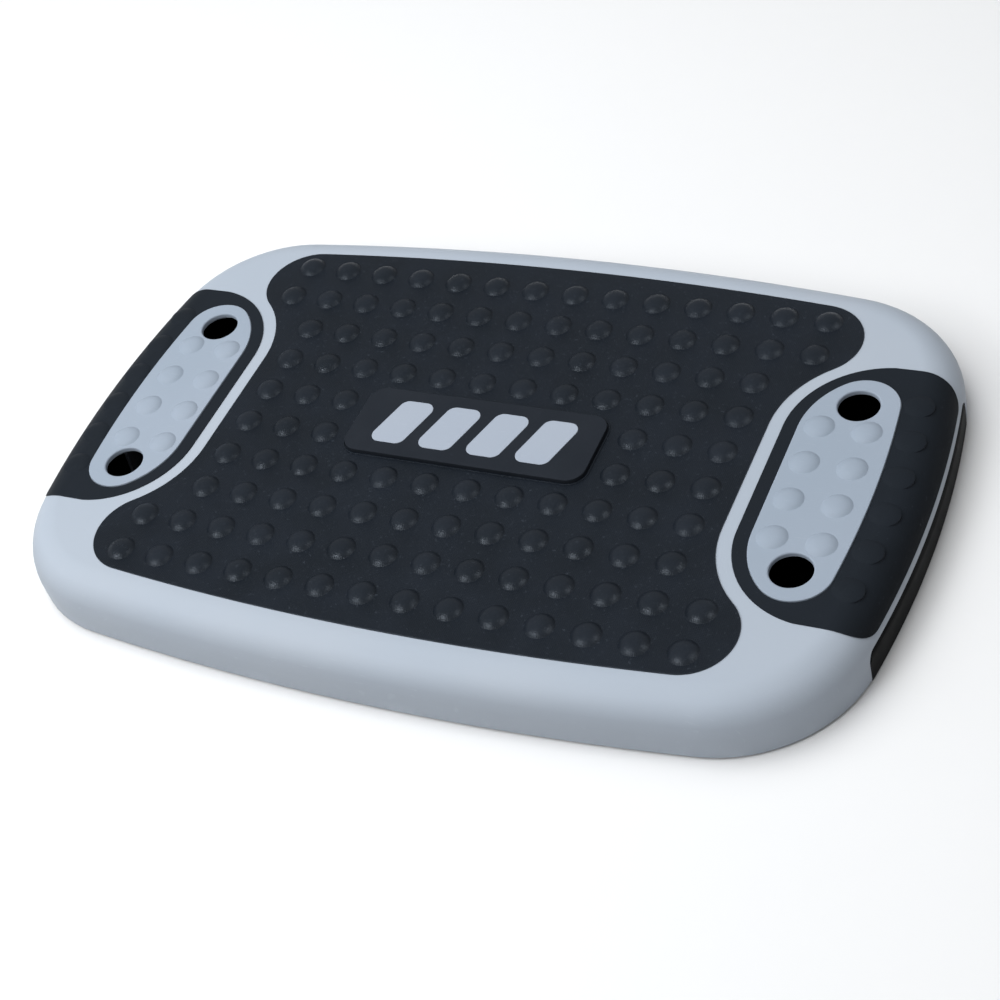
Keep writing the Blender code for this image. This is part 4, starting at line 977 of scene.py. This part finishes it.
def buildPanels():
    made = flatPiece("gripPanelRight", [panelOutline()], panel["low"], panel["top"],
                     panel["soften"], steps=3)
    for x, y in holeCentres():
        made = carve(made, lippedHole(Matrix.Translation((x, y, 0))))
    places = []
    for column in panel["domeColumns"]:
        for row in panel["domeRows"]:
            x = panelInnerX + panel["domeInset"] + column * tread["domePitchX"]
            places.append(((x, row * panel["domePitch"], panel["top"]), (0, 0, 1)))
    made = withCopies(made, places, dome, tread["domeDiameter"], panel["domeHeight"], panelPlastic)
    dressBoth(shaded(made), panelPlastic, "light_grey_plastic", "grip_panel")
    print("panels made")


# Legs, drawn folded

leg = {"reach": 0.111, "arm": 0.021, "armTop": 0.021, "foot": 0.018, "web": 0.003,
       "floorGap": 0.001, "sideGap": 0.0004, "pocketWall": 0.003, "sole": 0.004,
       "heelClearance": 0.0005, "soften": 0.0006, "soleSoften": 0.0008, "knuckleSides": 64}


def leaned(name, near, far, low, high, half):
    # a box at the leg's far end, turned to stand flat on the floor when the leg is open
    made = boxes(name, [((-far, -half, low), (-near, half, high))])
    made.data.transform(Matrix.Rotation(soleLean, 4, "Y"))
    return made


def legPockets(low, innerEnd, armInner, half):
    # hollows in the arms and the foot, open below
    wall = leg["pocketWall"]
    top = leg["armTop"] - hinge["z"] - wall
    start = innerEnd + wall
    end = hinge["z"] - heelTop - wall
    middle = (start + end) / 2
    pairs = []
    for side in (1, -1):
        near, far = sorted((side * (armInner + wall), side * (half - wall)))
        for west, east in ((start, middle - wall / 2), (middle + wall / 2, end)):
            pairs.append(((west, near, low - reach), (east, far, top)))
    footFar = -leg["reach"] + leg["sole"] + 2 * wall
    edges = spread(-armInner, armInner, ribs["edgePitch"])
    for south, north in zip(edges, edges[1:]):
        pairs.append(((footFar, south + wall / 2, low - reach),
                      (innerEnd - wall, north - wall / 2, top)))
    return boxes("legPockets", pairs)


def buildLegs():
    low = leg["floorGap"] - hinge["z"]
    top = leg["armTop"] - hinge["z"]
    half = well["openingWidth"] / 2 - leg["sideGap"]
    armInner = half - leg["arm"]
    knuckle = heelTop - hinge["z"]
    innerEnd = -(leg["reach"] - leg["sole"] - leg["foot"]) * math.cos(soleLean)
    back = hingePlace.inverted()

    heel = boxes("legHeel", [((0.0, -half, low), (reach, half, knuckle))])
    outside = deckForm("heelFace", 0.0, -reach)
    outside.data.transform(back)
    heel = carve(heel, outside, "INTERSECT")
    barrel = hingeBarrel("heelBarrel", leg["heelClearance"])
    barrel.data.transform(back)
    heel = carve(heel, barrel, "INTERSECT")
    knuckleBar = turned("legKnuckle", [(knuckle, -half), (knuckle, half)], leg["knuckleSides"],
                        quarterX)
    heel = carve(heel, knuckleBar, "UNION")
    heel = carve(heel, boxes("legFloor", [((-reach, -halfWidth, low - reach),
                                           (reach, halfWidth, low))]))

    made = boxes("legFrameRight", [((-leg["reach"] - leg["sole"], -half, low), (0, half, top))])
    made = carve(made, boxes("legTray", [((innerEnd, -armInner, low + leg["web"]),
                                          (reach, armInner, reach))]))
    face = leg["reach"] - leg["sole"] - seam
    made = carve(made, leaned("soleTrim", face, face + reach, -reach, reach, halfWidth))
    made = carve(made, heel, "UNION")
    made = carve(made, legPockets(low, innerEnd, armInner, half))
    bore = hinge["rod"] / 2 + seam
    made = carve(made, turned("rodBore", [(bore, -halfWidth), (bore, halfWidth)],
                              hinge["rodSides"], quarterX))
    made = softened(made, leg["soften"])
    made.data.transform(hingePlace)

    sole = leaned("legSoleRight", face + seam, leg["reach"], low + leg["sole"] / 2,
                  top - 2 * seam, half)
    sole = softened(sole, leg["soleSoften"], segments=3)
    sole.data.transform(hingePlace)
    made = shaded(made)
    sole = shaded(sole)
    bodies = ("leg_right", "leg_left")
    dressBoth(made, legPlastic, "black_plastic", "leg_frame", bodies)
    dressBoth(sole, footRubber, "foot_rubber", "leg_sole", bodies)
    print("legs made")


# Rods, caps, screws and corner feet

screw = {"shank": 0.0035, "head": 0.0068, "length": 0.012, "panelBite": 0.0032,
         "panelHead": 0.0024, "panelCrown": 0.0054, "crownEdge": 0.0002, "recess": 0.0011,
         "recessWidth": 0.0009, "recessLength": 0.0042, "sides": 24, "seatDepth": 0.006,
         "seatStart": 0.001}
foot = {"soft": 0.0009, "softAngles": (0.4, 0.8, 1.2, math.pi / 2), "stemChamfer": 0.0006,
        "topChamfer": 0.0004, "ringWidth": 0.004, "ringSlope": 0.001, "ringDepth": 0.0005,
        "sides": 40}


def crossRecess(name, top):
    across = screw["recessLength"] / 2
    thin = screw["recessWidth"] / 2
    low = top - screw["recess"]
    return boxes(name, [((-across, -thin, low), (across, thin, top + reach)),
                        ((-thin, -across, low), (thin, across, top + reach))])


def screwShape(name, profile):
    made = turned(name, profile, screw["sides"])
    return carve(made, crossRecess(name + "Cross", profile[0][1]), overlapping=True)


def setScrews(name, places, shape, nodes):
    empty = newObject(name, bpy.data.meshes.new(name))
    made = withCopies(empty, places, shape, 1.0, 1.0, zincSteel)
    bpy.data.objects.remove(shape)
    dress(shaded(made), zincSteel, "deck", "zinc_steel", *nodes)


def buildScrews():
    head = screw["head"] / 2
    shank = screw["shank"] / 2
    neck = head - shank
    shape = screwShape("flatScrew", [(nearAxis, 0.0), (head, 0.0), (head, -seam),
                                     (shank, -neck - seam), (shank, -screw["length"]),
                                     (nearAxis, -screw["length"])])
    capTop = hinge["z"] - hinge["rod"] / 2 - seam
    face = capTop - hinge["capThickness"] + seam
    capY = well["halfWidth"] + hinge["bossLength"] / 2
    places = [((end * (hinge["x"] + offset), side * (capY + shift), face), (0, 0, -1))
              for end in (1, -1) for side in (1, -1) for offset, shift in hinge["screwSpots"]]
    setScrews("capScrews", places, shape,
              [f"cap_screw_{end}_{side}_{index}" for end in ("right", "left")
               for side in ("front", "rear") for index in (1, 2)])

    crown = screw["panelCrown"] / 2
    top = screw["panelHead"]
    seat = deck["innerTop"] - seam
    shaft = seat - (panel["low"] + screw["panelBite"])
    shape = screwShape("panScrew", [(nearAxis, top), (crown, top),
                                    (head - screw["crownEdge"], top / 2), (head, 0.0),
                                    (shank, 0.0), (shank, shaft), (nearAxis, shaft)])
    x = panelInnerX + panel["domeInset"] + tread["domePitchX"] / 2
    places = [((end * x, end * row * panel["domePitch"], seat), (0, 0, -1))
              for end in (1, -1) for row in panel["screwRows"]]
    setScrews("panelScrews", places, shape,
              [f"panel_screw_{end}_{index}" for end in ("right", "left") for index in (1, 2, 3)])
    print("screws made")


def buildHinges():
    span = well["halfWidth"] + hinge["seat"]
    radius = hinge["rod"] / 2
    chamfer = hinge["rodChamfer"]
    rod = turned("hingeRodRight", [(radius - chamfer, -span), (radius, -span + chamfer),
                                   (radius, span - chamfer), (radius - chamfer, span)],
                 hinge["rodSides"], hingePlace @ quarterX)
    dressBoth(shaded(rod), zincSteel, "zinc_steel", "hinge_rod")

    top = hinge["z"] - radius - seam
    low = top - hinge["capThickness"]
    near = well["halfWidth"] + 2 * seam
    far = well["halfWidth"] + hinge["bossLength"]
    head = screw["head"] / 2 + seam
    shank = screw["shank"] / 2 + seam
    holeProfile = [(head, -screw["seatStart"]), (head, seam), (shank, head - shank + seam),
                   (shank, screw["seatDepth"])]
    limit = flatPiece("capLimit", [deckOutline(deck["wall"] + seam)], -reach, reach)
    for sideName, otherSide, side in (("front", "rear", -1), ("rear", "front", 1)):
        south, north = sorted((side * near, side * far))
        cap = boxes("hingeCapRight" + sideName.title(),
                    [((hinge["x"] - hinge["capHalfWidth"], south, low),
                      (hinge["x"] + hinge["capHalfWidth"], north, top))])
        cap = carve(cap, limit, "INTERSECT", keep=True)
        for offset, shift in hinge["screwSpots"]:
            y = side * (well["halfWidth"] + hinge["bossLength"] / 2 + shift)
            spot = Matrix.Translation((hinge["x"] + offset, y, low))
            cap = carve(cap, turned("capHole", holeProfile, screw["sides"], spot))
        cap = shaded(softened(cap, hinge["capSoften"]))
        other = turnedCopy(cap, "hingeCapLeft" + otherSide.title())
        dress(cap, legPlastic, "deck", "black_plastic", f"hinge_cap_right_{sideName}")
        dress(other, legPlastic, "deck", "black_plastic", f"hinge_cap_left_{otherSide}")
    bpy.data.objects.remove(limit)
    print("hinges made")


def footProfile():
    radius = corners["diameter"] / 2
    stem = corners["stem"] / 2
    shoulder = deck["rim"] + corners["height"] - seam
    top = shoulder + corners["stemLength"]
    soft = foot["soft"]
    hollow = radius - foot["ringWidth"]
    profile = [(nearAxis, top), (stem - foot["stemChamfer"], top),
               (stem, top - foot["stemChamfer"]), (stem, shoulder),
               (radius - foot["topChamfer"], shoulder), (radius, shoulder - foot["topChamfer"]),
               (radius, soft)]
    profile += [(radius - soft * (1 - math.cos(angle)), soft * (1 - math.sin(angle)))
                for angle in foot["softAngles"]]
    return profile + [(hollow, 0.0), (hollow - foot["ringSlope"], foot["ringDepth"]),
                      (nearAxis, foot["ringDepth"])]


def buildFeet():
    profile = footProfile()
    for endName, end in (("right", 1), ("left", -1)):
        for sideName, side in (("front", -1), ("rear", 1)):
            place = Matrix.Translation((end * corners["x"], side * corners["y"], 0))
            name = "cornerFoot" + endName.title() + sideName.title()
            made = turned(name, profile, foot["sides"], place)
            dress(shaded(made), footRubber, "deck", "foot_rubber",
                  f"corner_foot_{endName}_{sideName}")
    print("feet made")


buildDeck()
buildTread()
buildGrips()
buildPanels()
buildLegs()
buildHinges()
buildScrews()
buildFeet()
bpy.data.objects.remove(dome)
bpy.data.objects.remove(gripDome)


# Floor, lights and camera

studio = {"floorSize": 8.0, "floorDepth": 0.01, "floorTone": 0.8, "floorDrift": 0.99,
          "floorGrain": 40.0, "floorRough": 0.9, "worldTone": (0.97, 0.98, 1.0),
          "worldPower": 0.22, "lampTone": (0.97, 0.985, 1.0)}
# only the mirrored lamps show in the gloss: they make the two highlights on each dome
lamps = [
    {"name": "above", "place": (-0.8, -0.6, 2.1), "size": 3.0, "power": 60, "mirrored": False},
    {"name": "rear", "place": (-0.6, 0.9, 2.2), "size": 2.0, "power": 16, "mirrored": False},
    {"name": "left", "place": (-1.7, -0.3, 0.9), "size": 1.0, "power": 4, "mirrored": False},
    {"name": "frontLeft", "place": (-1.1, -2.42, 1.82), "size": 0.9, "power": 20, "mirrored": True},
    {"name": "right", "place": (2.6, 0.2, 1.83), "size": 0.9, "power": 8, "mirrored": True},
]
cameraSetup = {"place": (0.64279, -0.87027, 1.02214), "right": (0.89399, 0.3884, -0.22345),
               "up": (-0.14041, 0.71637, 0.68344), "back": (0.42552, -0.57962, 0.69497),
               "lens": 71.51, "sensor": 36.0}


def buildStage():
    made, tree, shader, coords, _ = startMaterial("floorPaint")
    tone = studio["floorTone"]
    darker = tone * studio["floorDrift"]
    fine = noiseOf(tree, coords, studio["floorGrain"], detail=3)
    colour = mixedColour(tree, fine, (tone, tone, tone, 1), (darker, darker, darker, 1))
    tree.links.new(colour, shader.inputs["Base Color"])
    shader.inputs["Roughness"].default_value = studio["floorRough"]
    half = studio["floorSize"] / 2
    floor = boxes("floor", [((-half, -half, -studio["floorDepth"]), (half, half, 0.0))])
    floor.data.materials.append(made)

    world = bpy.data.worlds.new("softRoom")
    world.use_nodes = True
    sky = world.node_tree.nodes["Background"]
    sky.inputs["Color"].default_value = (*studio["worldTone"], 1)
    sky.inputs["Strength"].default_value = studio["worldPower"]
    bpy.context.scene.world = world
    for lamp in lamps:
        light = bpy.data.lights.new(lamp["name"], "AREA")
        light.shape = "DISK"
        light.size = lamp["size"]
        light.energy = lamp["power"]
        light.color = studio["lampTone"]
        holder = newObject(lamp["name"], light)
        holder.location = lamp["place"]
        holder.visible_glossy = lamp["mirrored"]
        holder.rotation_euler = Vector(lamp["place"]).to_track_quat("Z", "Y").to_euler()


def buildCamera():
    lens = bpy.data.cameras.new("photoView")
    lens.lens = cameraSetup["lens"]
    lens.sensor_width = cameraSetup["sensor"]
    holder = newObject("photoView", lens)
    axes = Matrix((cameraSetup["right"], cameraSetup["up"], cameraSetup["back"])).transposed()
    holder.matrix_world = Matrix.Translation(cameraSetup["place"]) @ axes.to_4x4()
    bpy.context.scene.camera = holder


buildStage()
buildCamera()
bpy.context.scene.view_settings.view_transform = "Standard"
